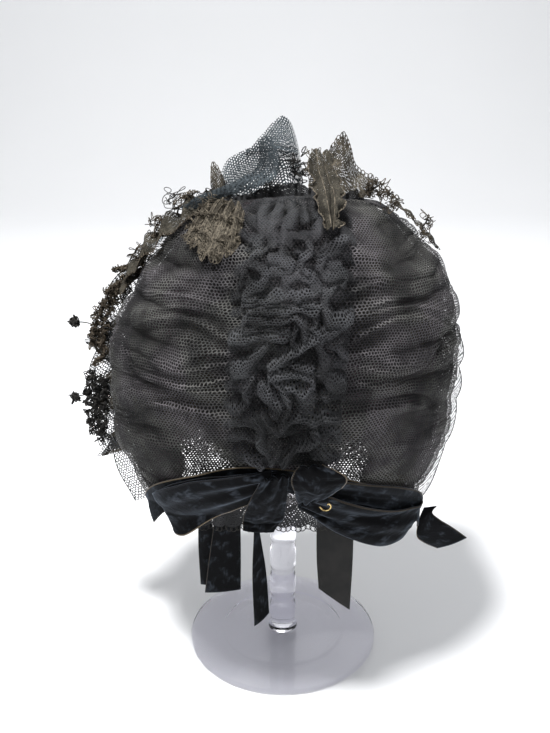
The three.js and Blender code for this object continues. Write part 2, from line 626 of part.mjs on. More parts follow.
// Lace and net that stand up from the crown's top: for each turn, the seam share of the foot and the height
// of the free edge as a share of the tallest.
const STANDING_TRIM = {
  net_loop: {
    height: NET_LOOP_HEIGHT, folds: 3, material: greyNet,
    rows: [
      { turn: -0.52, foot: 0.975, rise: 0.15 },
      { turn: -0.44, foot: 0.975, rise: 0.5 },
      { turn: -0.34, foot: 0.975, rise: 0.68 },
      { turn: -0.2, foot: 0.975, rise: 0.84 },
      { turn: -0.1, foot: 0.975, rise: 1 },
      { turn: -0.02, foot: 0.975, rise: 0.78 },
      { turn: 0.05, foot: 0.975, rise: 0.15 },
    ],
  },
  lace_point: {
    height: LACE_HEIGHT, folds: 3, material: tanLace,
    rows: [
      { turn: 0.12, foot: 0.97, rise: 0.3 },
      { turn: 0.27, foot: 0.97, rise: 0.6 },
      { turn: 0.42, foot: 0.965, rise: 1 },
      { turn: 0.55, foot: 0.955, rise: 0.5 },
      { turn: 0.72, foot: 0.94, rise: 0.35 },
    ],
  },
  lace_upright: {
    height: 0.55 * LACE_HEIGHT, folds: 1, material: tanLace,
    rows: [
      { turn: -0.76, foot: 0.945, rise: 0.6 },
      { turn: -0.7, foot: 0.945, rise: 1 },
      { turn: -0.62, foot: 0.945, rise: 0.7 },
    ],
  },
};
const STANDING_OFF = NET_WALL / 2 + 2 * CLEARANCE;

function standingTrim(name, trim) {
  const [first, last] = [trim.rows[0].turn, trim.rows[trim.rows.length - 1].turn];
  const surface = (u, v) => {
    const read = (key) => column(trim.rows, key, mix(first, last, v));
    const point = place(read("turn"), read("foot"), mix(STANDING_OFF, read("rise") * trim.height, u));
    point.y += STANDING_RIPPLE * u * Math.sin(2 * Math.PI * trim.folds * v);
    return point;
  };
  add(bonnet, name, wallAbout(surface, 2, 4 * trim.folds + 4, LACE_WALL), trim.material);
}

// The lace jabot that falls from the crown's top over the ruching, and the net strip beside it.
const OVER_RUCHE = RUCHE_OFF + RUCHE_RISE + RUCHE_WALL / 2 + CLEARANCE + LACE_WALL / 2;
const JABOT = [
  { lowTurn: 0.03, lowSeam: 0.925, highTurn: 0.24, highSeam: 0.925, lowOff: 2.2, highOff: 2.2 },
  { lowTurn: 0.02, lowSeam: 0.905, highTurn: 0.24, highSeam: 0.905, lowOff: 1.05, highOff: 1.05 },
  { lowTurn: 0.03, lowSeam: 0.87, highTurn: 0.2, highSeam: 0.87, lowOff: 1, highOff: 1 },
  { lowTurn: 0.05, lowSeam: 0.83, highTurn: 0.15, highSeam: 0.83, lowOff: 1, highOff: 1 },
  { lowTurn: 0.07, lowSeam: 0.79, highTurn: 0.11, highSeam: 0.79, lowOff: 1, highOff: 1 },
];
const NET_STRIP = [
  { lowTurn: -0.3, lowSeam: 0.94, highTurn: -0.16, highSeam: 0.94, lowOff: 2.7, highOff: 2.9 },
  { lowTurn: -0.3, lowSeam: 0.925, highTurn: -0.14, highSeam: 0.925, lowOff: 1.7, highOff: 1.9 },
  { lowTurn: -0.34, lowSeam: 0.9, highTurn: -0.18, highSeam: 0.9, lowOff: 1.05, highOff: 1.1 },
  { lowTurn: -0.38, lowSeam: 0.86, highTurn: -0.24, highSeam: 0.86, lowOff: 1, highOff: 1 },
];

function fallingTrim(name, table, material) {
  const rows = table.map((row) => ({
    ...row, lowOff: row.lowOff * OVER_RUCHE, highOff: row.highOff * OVER_RUCHE,
  }));
  const last = rows[rows.length - 1];
  const inwards = place(last.lowTurn, last.lowSeam, 0).sub(place(last.lowTurn, last.lowSeam, 1));
  const geometry = wallAbout(stripSurface(rows), 3, 8, LACE_WALL);
  add(bonnet, name, seat(geometry, inwards, ["centre_ruching", "crown"], OVER_RUCHE), material);
}

// The worn lace that stands out from the left cheek, with its two buds.
const CHEEK_SPAN = { start: 0.05, end: 0.2 }; // shares of the hoop
const CHEEK_FOLDS = 5;
const CHEEK_WIDTH = 30; // at its scallops
const CHEEK_NARROW = 0.5; // of that width between them
const CHEEK_RIPPLE = 2.2;
const CHEEK_FOOT = { out: 4.5, ahead: -6 };
const BUDS = [
  { name: "bud_upper", at: 0.185, out: 1.12 },
  { name: "bud_lower", at: 0.11, out: 1.12 },
];

function cheekLace() {
  const surface = (u, v) => {
    const width = CHEEK_WIDTH * mix(CHEEK_NARROW, 1, 0.5 + 0.5 * Math.cos(CHEEK_FOLDS * Math.PI * v));
    const fold = CHEEK_RIPPLE * smooth(u, 0, 0.5) * Math.sin(2 * Math.PI * CHEEK_FOLDS * v);
    const at = mix(CHEEK_SPAN.start, CHEEK_SPAN.end, v);
    return byHoop(at, mix(CHEEK_FOOT.out, width, u), CHEEK_FOOT.ahead + fold);
  };
  const geometry = wallAbout(surface, 2, 4 * CHEEK_FOLDS, LACE_WALL);
  const middle = (CHEEK_SPAN.start + CHEEK_SPAN.end) / 2;
  const inwards = byHoop(middle, 0, 0).sub(byHoop(middle, 1, 0));
  add(bonnet, "lace_cheek", seat(geometry, inwards, ["crown", "brim_frill"], CHEEK_WIDTH), brownLace);
}

function turned(profile, sides) {
  const points = profile.map(([radius, height]) => new THREE.Vector2(radius, height));
  return new THREE.LatheGeometry(points, sides).rotateX(Math.PI / 2);
}

// A round bud on a short stem, its foot towards the lace.
function bud(row) {
  const middle = BUD_STEM + BUD_RADIUS;
  const profile = [[0, 0], [BUD_STEM_RADIUS, 0], [BUD_STEM_RADIUS, BUD_STEM]];
  for (const side of [-1, 0, 1]) {
    const radius = BUD_RADIUS * Math.sqrt(1 - (BUD_SHOULDER * side) ** 2);
    profile.push([radius, middle + BUD_SHOULDER * BUD_RADIUS * side]);
  }
  profile.push([0, middle + BUD_RADIUS]);
  const foot = byHoop(row.at, row.out * CHEEK_WIDTH, CHEEK_FOOT.ahead);
  const inwards = byHoop(row.at, 0, CHEEK_FOOT.ahead).sub(foot).normalize();
  const geometry = turned(profile, 8).applyQuaternion(
    new THREE.Quaternion().setFromUnitVectors(V(0, 0, 1), inwards.clone().negate()),
  );
  geometry.translate(foot.x, foot.y, foot.z);
  add(bonnet, row.name, seat(geometry, inwards, ["lace_cheek"], CHEEK_WIDTH), budBrown);
}

// The wire hook beside the knot: its route in shares of its length, to the right and up.
const HOOK_AT = { turn: 0.1, seam: 0.11 };
const HOOK_ROUTE = [[0, 0], [0.35, -0.35], [0.8, -0.3], [1, 0.05], [0.8, 0.3]];

function hook() {
  const start = place(HOOK_AT.turn, HOOK_AT.seam, 3 * BOW_RISE);
  const route = HOOK_ROUTE.map(([right, up]) => V(right, 0, up).multiplyScalar(HOOK_LENGTH).add(start));
  const section = new THREE.Shape().absarc(0, 0, HOOK_WIRE / 2, 0, 2 * Math.PI);
  const geometry = new THREE.ExtrudeGeometry(section, {
    steps: 8, curveSegments: 3, bevelEnabled: false, extrudePath: new THREE.CatmullRomCurve3(route),
  });
  const inwards = place(HOOK_AT.turn, HOOK_AT.seam, 0).sub(place(HOOK_AT.turn, HOOK_AT.seam, 1));
  const below = ["bow_loop_right", "bow_knot", "crown"];
  add(bonnet, "brass_hook", seat(geometry, inwards, below, 4 * BOW_RISE), brass);
}

function stand() {
  const foot = [
    [0, 0], [FOOT_RADIUS, 0], [FOOT_RADIUS, FOOT_THICKNESS], [STEP_RADIUS, FOOT_THICKNESS],
    [STEP_RADIUS, FOOT_THICKNESS + STEP_THICKNESS], [0, FOOT_THICKNESS + STEP_THICKNESS],
  ];
  add(part, "stand_foot", turned(foot, 32), acrylic);

  const dome = [[0, -CAP_EDGE], [CAP_RADIUS, -CAP_EDGE], [CAP_RADIUS, 0]];
  for (const share of [0.8, 0.5, 0.2, 0]) {
    dome.push([CAP_RADIUS * share, CAP_RISE * Math.sqrt(1 - share * share)]);
  }
  const cap = turned(dome, 12);
  cap.translate(-BONNET_SHIFT, 0, NECK_HEIGHT + CROWN_HEIGHT / 2);
  seat(cap, V(0, 0, 1), ["under_crown"], CROWN_HEIGHT).translate(BONNET_SHIFT, 0, 0);
  add(part, "stand_cap", cap, acrylic);

  const bottom = FOOT_THICKNESS + STEP_THICKNESS + CLEARANCE;
  const beads = bottom + STEM_RING_HEIGHT;
  cap.computeBoundingBox();
  const top = cap.boundingBox.min.z - CLEARANCE;
  const profile = [[0, bottom], [STEM_RING_RADIUS, bottom], [STEM_RING_RADIUS, beads]];
  for (let bead = 0; bead < STEM_BEADS; bead++) {
    profile.push([STEM_WAIST, beads + (bead + 0.04) * BEAD_LENGTH]);
    profile.push([STEM_RADIUS, beads + (bead + 0.3) * BEAD_LENGTH]);
    profile.push([STEM_RADIUS, beads + (bead + 0.75) * BEAD_LENGTH]);
  }
  profile.push([STEM_WAIST, beads + STEM_BEADS * BEAD_LENGTH], [STEM_WAIST, top], [0, top]);
  add(part, "stand_stem", turned(profile, 10), acrylic);
}

crown();
ruching();
underCrown();
brimFrill();
brim();
neckBand();
bowLoop("bow_loop_left", LEFT_LOOP);
bowLoop("bow_loop_right", RIGHT_LOOP);
knot();
neckCurtain();
for (const [name, end] of Object.entries(RIBBON_ENDS)) ribbonEnd(name, end);
sideTab();
for (const [name, trim] of Object.entries(LYING_TRIM)) lyingTrim(name, trim);
for (const [name, trim] of Object.entries(STANDING_TRIM)) standingTrim(name, trim);
fallingTrim("lace_jabot", JABOT, tanLace);
fallingTrim("net_strip", NET_STRIP, greyNet);
cheekLace();
BUDS.forEach(bud);
hook();
stand();

export default part;
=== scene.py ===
import math
import bpy
import numpy as np
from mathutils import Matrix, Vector


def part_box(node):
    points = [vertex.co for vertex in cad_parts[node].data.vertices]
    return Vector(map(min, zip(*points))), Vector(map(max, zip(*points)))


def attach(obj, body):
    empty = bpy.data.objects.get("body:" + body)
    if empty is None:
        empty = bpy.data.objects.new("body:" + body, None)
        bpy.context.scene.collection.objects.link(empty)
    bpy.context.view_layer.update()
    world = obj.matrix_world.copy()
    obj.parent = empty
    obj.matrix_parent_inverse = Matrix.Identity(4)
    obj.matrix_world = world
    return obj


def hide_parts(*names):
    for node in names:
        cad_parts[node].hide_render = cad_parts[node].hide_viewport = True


# A gathered net bonnet with a velvet bow and lace trimming, on its clear display stand.
# Sizes are in millimetres and the meshes in metres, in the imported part's frame.

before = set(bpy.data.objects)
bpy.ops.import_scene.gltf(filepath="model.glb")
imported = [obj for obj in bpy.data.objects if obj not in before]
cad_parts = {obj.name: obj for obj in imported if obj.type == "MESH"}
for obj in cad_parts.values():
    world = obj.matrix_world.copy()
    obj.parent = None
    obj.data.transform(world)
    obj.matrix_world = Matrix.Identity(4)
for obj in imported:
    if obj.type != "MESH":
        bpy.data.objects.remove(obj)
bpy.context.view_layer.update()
MM = 0.001

# Camera: behind the bonnet and a little above it
IMAGE_HEIGHT = 733
FOCAL_PIXELS = 900
SENSOR = 36
CAMERA_PLACE = (-0.006, -0.5838, 0.4464)
CAMERA_PITCH = 21

camera_data = bpy.data.cameras.new("camera")
camera_data.sensor_width = SENSOR
camera_data.lens = SENSOR * FOCAL_PIXELS / IMAGE_HEIGHT
camera_data.clip_start = 0.01
camera = bpy.data.objects.new("camera", camera_data)
camera.location = CAMERA_PLACE
camera.rotation_euler = (math.radians(90 - CAMERA_PITCH), 0, 0)
bpy.context.scene.collection.objects.link(camera)
bpy.context.scene.camera = camera

# Walls and clearances, the same as the part's
CLEARANCE = 0.3
NET_WALL = 1.2
RUCHE_WALL = 2
LINING_WALL = 1.4
BRIM_WALL = 1.6
RIBBON_WALL = 1.2
LACE_WALL = 1.2

# Crown
BONNET_SHIFT = -1
CROWN_HALF_WIDTH = 119
CROWN_HEIGHT = 196
CROWN_DEPTH = 92
NECK_HEIGHT = 147
NECK_DROP = 30
ROW_TURN = math.radians(110)
FOLD_DEPTH = 6.5
PUFF_RISE = 1.6
RUCHE_HALF_WIDTH = 33
RUCHE_RISE = 9
LINING_GAP = 15

# Brim, ribbon and trimming
BRIM_LENGTH = 46
BRIM_FLARE = 9
BRIM_CHEEK_SHARE = 0.3
FRILL_WIDTH = 24
FRILL_RIPPLE = 4
FRILL_WAVES = 20
RIBBON_WIDTH = 26
BOW_RISE = 11
CURTAIN_LENGTH = 17
CURTAIN_RIPPLE = 1.6
CURTAIN_WAVES = 7
TRIM_RISE = 12
LACE_HEIGHT = 42
NET_LOOP_HEIGHT = 51
STANDING_RIPPLE = 2.5

NET_PITCH = 2.3  # across one cell of the net
LACE_PITCH = 1.3
LACE_LEAF = 4.5  # across one leaf of the lace
SELVEDGE_PITCH = 1.2


def smooth(x, low, high):
    t = np.clip((x - low) / (high - low), 0, 1)
    return t * t * (3 - 2 * t)


def mix(a, b, t):
    return a + (b - a) * t


def noise(x, y, seed):
    """Smooth random values from -1 to 1, the same for the same seed."""
    size = 64
    table = np.random.default_rng(seed).uniform(-1, 1, (size, size))
    x, y = np.broadcast_arrays(np.asarray(x, float), np.asarray(y, float))
    i, j = np.floor(x).astype(int), np.floor(y).astype(int)
    s, t = smooth(x - i, 0, 1), smooth(y - j, 0, 1)
    low = mix(table[i % size, j % size], table[(i + 1) % size, j % size], s)
    high = mix(table[i % size, (j + 1) % size], table[(i + 1) % size, (j + 1) % size], s)
    return mix(low, high, t)


def column(table, name, at):
    """A smooth curve through one column of a table, by the value of its first column."""
    first = next(iter(table[0]))
    keys = np.array([row[first] for row in table], float)
    values = np.array([row[name] for row in table], float)
    at = np.asarray(at, float)
    i = np.clip(np.searchsorted(keys, at, side="left") - 1, 0, len(keys) - 2)
    before, after = np.maximum(i - 1, 0), np.minimum(i + 2, len(keys) - 1)
    span = keys[i + 1] - keys[i]
    t = np.clip((at - keys[i]) / span, 0, 1)
    slope_a = (values[i + 1] - values[before]) / (keys[i + 1] - keys[before]) * span
    slope_b = (values[after] - values[i]) / (keys[after] - keys[i]) * span
    t2, t3 = t * t, t * t * t
    return ((2 * t3 - 3 * t2 + 1) * values[i] + (t3 - 2 * t2 + t) * slope_a
            + (3 * t2 - 2 * t3) * values[i + 1] + (t3 - t2) * slope_b)


def unit(vectors):
    return vectors / np.maximum(np.linalg.norm(vectors, axis=-1, keepdims=True), 1e-9)


# Crown sections, one for each row of the crown, as in the part
CROWN_SECTIONS = [
    dict(at=0, back=0.652, rise=0, width=0.82, drop=1, forward=-0.1, lean=0),
    dict(at=0.14, back=0.87, rise=0.17, width=0.955, drop=0.72, forward=-0.065, lean=0),
    dict(at=0.3, back=0.985, rise=0.355, width=1, drop=0.6, forward=-0.02, lean=0),
    dict(at=0.48, back=1, rise=0.575, width=0.99, drop=0.55, forward=0, lean=0.02),
    dict(at=0.64, back=0.89, rise=0.755, width=0.9, drop=0.5, forward=0.04, lean=0.06),
    dict(at=0.79, back=0.6, rise=0.91, width=0.7, drop=0.48, forward=0.11, lean=0.07),
    dict(at=0.91, back=0.2, rise=0.985, width=0.51, drop=0.34, forward=0.2, lean=0.07),
    dict(at=1, back=-0.24, rise=0.97, width=0.3, drop=0.12, forward=0.34, lean=0.07),
]


def row_turn(v):
    return mix(ROW_TURN, math.pi / 2, smooth(v, 0.85, 1))


def crown_form(u, v):
    """The unfolded crown: u runs from the hoop's left side to its right, and v from the neck to the top."""
    u, v = np.broadcast_arrays(np.asarray(u, float), np.asarray(v, float))
    share = 2 * u - 1
    turn = np.abs(share) * row_turn(v)
    forward = column(CROWN_SECTIONS, "forward", v) * CROWN_DEPTH
    depth = forward + column(CROWN_SECTIONS, "back", v) * CROWN_DEPTH
    width = column(CROWN_SECTIONS, "width", v) * CROWN_HALF_WIDTH
    return np.stack([
        column(CROWN_SECTIONS, "lean", v) * CROWN_HALF_WIDTH + np.sign(share) * width * np.sin(turn),
        forward - depth * np.cos(turn),
        NECK_HEIGHT + column(CROWN_SECTIONS, "rise", v) * CROWN_HEIGHT
        - column(CROWN_SECTIONS, "drop", v) * NECK_DROP * np.abs(share) ** 1.7,
    ], axis=-1)


def crown_normal(u, v):
    step = 0.004
    across = crown_form(np.minimum(u + step, 1), v) - crown_form(np.maximum(u - step, 0), v)
    along = crown_form(u, np.minimum(v + step, 1)) - crown_form(u, np.maximum(v - step, 0))
    return unit(np.cross(across, along))


def place(turn, seam, off):
    """Points off the crown: turn from -1 to 1 round a row, and a seam share below 0 hangs under the neck."""
    turn, seam, off = np.broadcast_arrays(*(np.asarray(x, float) for x in (turn, seam, off)))
    u, v = np.clip((turn + 1) / 2, 0, 1), np.clip(seam, 0, 1)
    normal = crown_normal(u, v)
    normal[..., 2] *= smooth(seam, -0.06, 0.1)
    points = crown_form(u, v) + unit(normal) * off[..., None]
    points[..., 2] += np.minimum(seam, 0) * CROWN_HEIGHT
    return points


# The valleys between the crown's puffs: the side, the seam shares where one starts beside the ruching and
# where it ends at the hoop, its bow, its depth as a share and its width
CROWN_FOLDS = [
    dict(side=-1, start=0.78, end=0.86, bow=0.02, depth=0.9, width=0.034),
    dict(side=-1, start=0.68, end=0.74, bow=0.02, depth=1, width=0.032),
    dict(side=-1, start=0.58, end=0.62, bow=0.01, depth=1, width=0.03),
    dict(side=-1, start=0.48, end=0.5, bow=0.03, depth=1, width=0.03),
    dict(side=-1, start=0.38, end=0.36, bow=0.03, depth=1, width=0.032),
    dict(side=-1, start=0.27, end=0.22, bow=0.01, depth=0.8, width=0.028),
    dict(side=1, start=0.77, end=0.9, bow=0.01, depth=0.9, width=0.034),
    dict(side=1, start=0.68, end=0.79, bow=0.01, depth=1, width=0.034),
    dict(side=1, start=0.59, end=0.67, bow=0.01, depth=0.9, width=0.03),
    dict(side=1, start=0.49, end=0.54, bow=-0.01, depth=0.9, width=0.03),
    dict(side=1, start=0.4, end=0.44, bow=-0.01, depth=1, width=0.03),
    dict(side=1, start=0.3, end=0.3, bow=0.01, depth=0.8, width=0.03),
]


def crown_relief(u, v, seed):
    """How far the net stands off the unfolded crown: sharp valleys between full puffs, pleats at the
    gathers and soft wrinkles."""
    share = 2 * u - 1
    out = np.abs(share)
    ends = smooth(v, 0.1, 0.22) * (1 - smooth(v, 0.84, 0.93))
    inside = smooth(out, 0.2, 0.5) * (1 - 0.8 * smooth(out, 0.6, 0.95))
    inside = inside * (0.75 + 0.5 * noise(out * 3, v * 6, seed + 7))
    wander = 0.012 * noise(out * 5 + 3 * np.sign(share), v * 7, seed)
    wander = wander + 0.005 * noise(out * 14, v * 16, seed + 8)
    valleys, puffs = 0, 0
    for i, fold in enumerate(CROWN_FOLDS):
        line = mix(fold["start"], fold["end"], out) + fold["bow"] * np.sin(math.pi * out)
        across = (v + wander - line) / fold["width"]
        strength = fold["depth"] * (0.85 + 0.5 * noise(out * 4 + i, 0.5, seed + 1))
        here = np.where(fold["side"] * share > 0, strength, 0)
        valleys = valleys + here * np.exp(-np.where(across > 0, 2.6, 1.1) * np.abs(across) ** 0.95)
        puffs = puffs + here * np.exp(-((across + 1.35) ** 2) / 0.9)
    relief = (PUFF_RISE * puffs - 0.85 * FOLD_DEPTH * valleys) * inside * ends
    bend = 0.5 * noise(out * 3, v * 9, seed + 2)
    gathers = (1 - np.abs(noise(v * 27 + 3.4 * bend, out * 2.2, seed + 3))) ** 2.2 - 0.4
    near_seam = (1 - smooth(out, 0.2, 0.85)) ** 1.4 * smooth(out, 0.1, 0.2)
    near_hoop = smooth(out, 0.72, 1)
    creases = (1 - np.abs(noise(v * 15 + bend * 2.5 + share, out * 2.6 + 7, seed + 4))) ** 5
    small = (1 - np.abs(noise(v * 30 + bend * 2 - share, out * 4 + 5, seed + 6))) ** 5
    return (relief + 4.2 * gathers * near_seam * ends + 1.6 * gathers * near_hoop
            - (2.6 * creases + 1.5 * small) * smooth(out, 0.2, 0.4) + 1.2 * noise(v * 11, out * 4, seed + 5))


def hoop_point(h):
    """The crown's front edge: up the left side, over the top and down the right, for h from 0 to 1."""
    h = np.asarray(h, float)
    left = crown_form(0.0, np.clip(h / 0.4, 0, 1))
    over = crown_form(np.clip((h - 0.4) / 0.2, 0, 1), 1.0)
    right = crown_form(1.0, np.clip((1 - h) / 0.4, 0, 1))
    h = h[..., None]
    return np.where(h < 0.4, left, np.where(h < 0.6, over, right))


def by_hoop(h, out, ahead):
    """Points beside the hoop: so far out from it and so far ahead of it."""
    h, out, ahead = np.broadcast_arrays(*(np.asarray(x, float) for x in (h, out, ahead)))
    step = 0.03
    along = hoop_point(np.minimum(h + step, 1)) - hoop_point(np.maximum(h - step, 0))
    outward = unit(np.stack([-along[..., 2], 0 * h, along[..., 0]], axis=-1))
    points = hoop_point(h) + outward * out[..., None]
    points[..., 1] += ahead
    return points


def spread(columns, rows):
    """The u and v of every point of a grid, each from 0 to 1, rows first."""
    return np.meshgrid(np.linspace(0, 1, columns + 1), np.linspace(0, 1, rows + 1))


def stations(rows):
    """A table's rows, spaced evenly from 0 to 1."""
    return [dict(at=i / (len(rows) - 1), **row) for i, row in enumerate(rows)]


def strip(table, u, v):
    """The lie of a strip between its high edge, at u = 0, and its low edge: turn and seam share."""
    rows = stations(table)
    turn = mix(column(rows, "high_turn", v), column(rows, "low_turn", v), u)
    seam = mix(column(rows, "high_seam", v), column(rows, "low_seam", v), u)
    return turn, seam


def edges(low_turn, low_seam, high_turn, high_seam, **more):
    """One row of a strip's table: where its low and high edges lie on the crown."""
    return dict(low_turn=low_turn, low_seam=low_seam, high_turn=high_turn, high_seam=high_seam, **more)


# Shader trees


class Nodes:
    """Short calls for the nodes of one tree. Most give back an output socket."""

    def __init__(self, tree):
        self.tree = tree

    def add(self, kind, **settings):
        node = self.tree.nodes.new(kind)
        for name, value in settings.items():
            setattr(node, name, value)
        return node

    def set(self, socket, value):
        if isinstance(value, bpy.types.NodeSocket):
            self.tree.links.new(value, socket)
        else:
            socket.default_value = value

    def math(self, operation, a, b=0.0, clamp=False):
        node = self.add("ShaderNodeMath", operation=operation, use_clamp=clamp)
        self.set(node.inputs[0], a)
        self.set(node.inputs[1], b)
        return node.outputs[0]

    def vector(self, operation, a, b=(0, 0, 0), scale=None):
        node = self.add("ShaderNodeVectorMath", operation=operation)
        self.set(node.inputs[0], a)
        if scale is None:
            self.set(node.inputs[1], b)
        else:
            self.set(node.inputs["Scale"], scale)
        return node.outputs["Value" if operation in ("LENGTH", "DOT_PRODUCT") else "Vector"]

    def noise(self, vector, scale, detail=2.0, output="Fac"):
        node = self.add("ShaderNodeTexNoise")
        self.set(node.inputs["Vector"], vector)
        self.set(node.inputs["Scale"], scale)
        self.set(node.inputs["Detail"], detail)
        return node.outputs[output]

    def cells(self, vector, scale, feature="F1", randomness=1.0):
        node = self.add("ShaderNodeTexVoronoi", feature=feature)
        self.set(node.inputs["Vector"], vector)
        self.set(node.inputs["Scale"], scale)
        self.set(node.inputs["Randomness"], randomness)
        return node.outputs["Distance"]

    def ramp(self, value, low, high, start=0.0, end=1.0):
        node = self.add("ShaderNodeMapRange", interpolation_type="SMOOTHSTEP")
        given = {"Value": value, "From Min": low, "From Max": high, "To Min": start, "To Max": end}
        for name, x in given.items():
            self.set(node.inputs[name], x)
        return node.outputs["Result"]

    def blend(self, factor, a, b):
        node = self.add("ShaderNodeMix", data_type="RGBA")
        self.set(node.inputs["Factor"], factor)
        self.set(node.inputs[6], a)
        self.set(node.inputs[7], b)
        return node.outputs[2]

    def bump(self, height, distance, strength=1.0):
        node = self.add("ShaderNodeBump")
        self.set(node.inputs["Height"], height)
        self.set(node.inputs["Distance"], distance)
        self.set(node.inputs["Strength"], strength)
        return node.outputs["Normal"]

    def split(self, vector):
        node = self.add("ShaderNodeSeparateXYZ")
        self.set(node.inputs[0], vector)
        return node.outputs

    def uv(self, name):
        return self.add("ShaderNodeUVMap", uv_map=name).outputs[0]

    def where(self):
        """The place on the piece, in metres."""
        return self.add("ShaderNodeTexCoord").outputs["Object"]

    def group(self, tree, **inputs):
        node = self.add("ShaderNodeGroup", node_tree=tree)
        for name, value in inputs.items():
            self.set(node.inputs[name], value)
        return node.outputs


def effect(name, inputs, outputs):
    """A new shader node group with named sockets: its tree, its nodes, what comes in and what goes out."""
    tree = bpy.data.node_groups.new(name, "ShaderNodeTree")
    for label, (kind, value) in inputs.items():
        socket = tree.interface.new_socket(label, in_out="INPUT", socket_type=kind)
        if value is not None:
            socket.default_value = value
    for label in outputs:
        tree.interface.new_socket(label, in_out="OUTPUT", socket_type="NodeSocketFloat")
    nodes = Nodes(tree)
    return tree, nodes, nodes.add("NodeGroupInput").outputs, nodes.add("NodeGroupOutput").inputs


VECTOR, NUMBER = "NodeSocketVector", "NodeSocketFloat"


def net_threads():
    """Six-sided net: a mask of the threads and their rounded height. Pitch is in millimetres."""
    tree, g, given, out = effect("net_threads", dict(
        Cloth=(VECTOR, None), Pitch=(NUMBER, NET_PITCH), Thread=(NUMBER, 0.3)), ["Mask", "Height"])
    per_metre = g.math("DIVIDE", 1 / MM, given["Pitch"])
    cloth = g.vector("SCALE", given["Cloth"], scale=per_metre)
    drift = g.noise(cloth, 0.35, 1.0, "Color")
    pulled = g.noise(cloth, 0.04, 1.0, "Color")
    cloth = g.vector("ADD", cloth, g.vector("SCALE", drift, scale=0.9))
    cloth = g.vector("ADD", cloth, g.vector("SCALE", pulled, scale=6.0))
    cell = (1, math.sqrt(3), 1)
    near = []
    for shift in (0, 0.5):
        share = g.vector("ADD", g.vector("DIVIDE", cloth, cell), (shift, shift, 0))
        middle = g.vector("SUBTRACT", g.vector("FRACTION", share), (0.5, 0.5, 0.5))
        near.append(g.vector("MULTIPLY", middle, (1, math.sqrt(3), 0)))
    closer = g.math("LESS_THAN", g.vector("LENGTH", near[0]), g.vector("LENGTH", near[1]))
    other = g.vector("SCALE", near[1], scale=g.math("SUBTRACT", 1.0, closer))
    at = g.vector("ABSOLUTE", g.vector("ADD", g.vector("SCALE", near[0], scale=closer), other))
    x = g.split(at)["X"]
    slanted = g.vector("DOT_PRODUCT", at, (0.5, math.sqrt(3) / 2, 0))
    edge = g.math("SUBTRACT", 0.5, g.math("MAXIMUM", x, slanted))
    uneven = g.noise(cloth, 1.3, 1.0)
    half = g.math("MULTIPLY", g.math("MULTIPLY", given["Thread"], 0.5), g.ramp(uneven, 0.25, 0.75, 0.75, 1.3))
    share = g.math("DIVIDE", edge, half)
    g.set(out["Mask"], g.ramp(share, 0.85, 1.15, 1.0, 0.0))
    g.set(out["Height"], g.ramp(share, 0.0, 1.0, 1.0, 0.0))
    return tree


def lace_work(net):
    """Lace: a fine net ground, dense leaves with raised outlines and veins."""
    tree, g, given, out = effect("lace_work", dict(
        Cloth=(VECTOR, None), Size=(NUMBER, LACE_LEAF)), ["Mask", "Height", "Tone"])
    cloth = g.vector("SCALE", given["Cloth"], scale=g.math("DIVIDE", 1 / MM, given["Size"]))
    swirl = g.vector("SCALE", g.noise(cloth, 1.4, 2.0, "Color"), scale=0.55)
    cloth = g.vector("ADD", cloth, swirl)
    leaf = g.cells(cloth, 1.0, randomness=0.8)
    rim = g.math("ABSOLUTE", g.math("SUBTRACT", leaf, 0.42))
    outline = g.ramp(rim, 0.035, 0.06, 1.0, 0.0)
    veins = g.ramp(g.cells(cloth, 3.3, "DISTANCE_TO_EDGE"), 0.05, 0.1, 1.0, 0.0)
    inside = g.ramp(leaf, 0.4, 0.43, 1.0, 0.0)
    ground = g.group(net, Cloth=given["Cloth"], Pitch=LACE_PITCH, Thread=0.5)
    holes = g.ramp(g.noise(cloth, 9.0, 1.0), 0.34, 0.41)
    filled = g.math("MULTIPLY", inside, holes)
    mask = g.math("MAXIMUM", g.math("MAXIMUM", ground["Mask"], outline), g.math("MAXIMUM", filled, veins))
    raised = g.math("MAXIMUM", outline, g.math("MULTIPLY", veins, 0.8))
    g.set(out["Mask"], mask)
    g.set(out["Height"], g.math("MAXIMUM", raised, g.math("MULTIPLY", filled, 0.5)))
    g.set(out["Tone"], g.math("MAXIMUM", raised, g.math("MULTIPLY", g.noise(cloth, 2.0, 3.0), 0.7)))
    return tree


def pile_tufts_and_sheen():
    """Velvet: patches where the pile is crushed and catches the light, as a mask for painted sheen, and its
    fine tufts.
    """
    tree, g, given, out = effect("pile_tufts_and_sheen", dict(Cloth=(VECTOR, None)), ["Crushed", "Height"])
    patches = g.noise(given["Cloth"], 95.0, 4.0)
    streaks = g.noise(g.vector("MULTIPLY", given["Cloth"], (500, 180, 1)), 1.0, 2.0)
    g.set(out["Crushed"], g.math("MULTIPLY", g.ramp(patches, 0.48, 0.66), g.ramp(streaks, 0.3, 0.7)))
    tufts = g.noise(given["Cloth"], 1500.0, 1.0)
    g.set(out["Height"], g.math("ADD", g.math("MULTIPLY", patches, 2.0), g.math("MULTIPLY", tufts, 0.3)))
    return tree


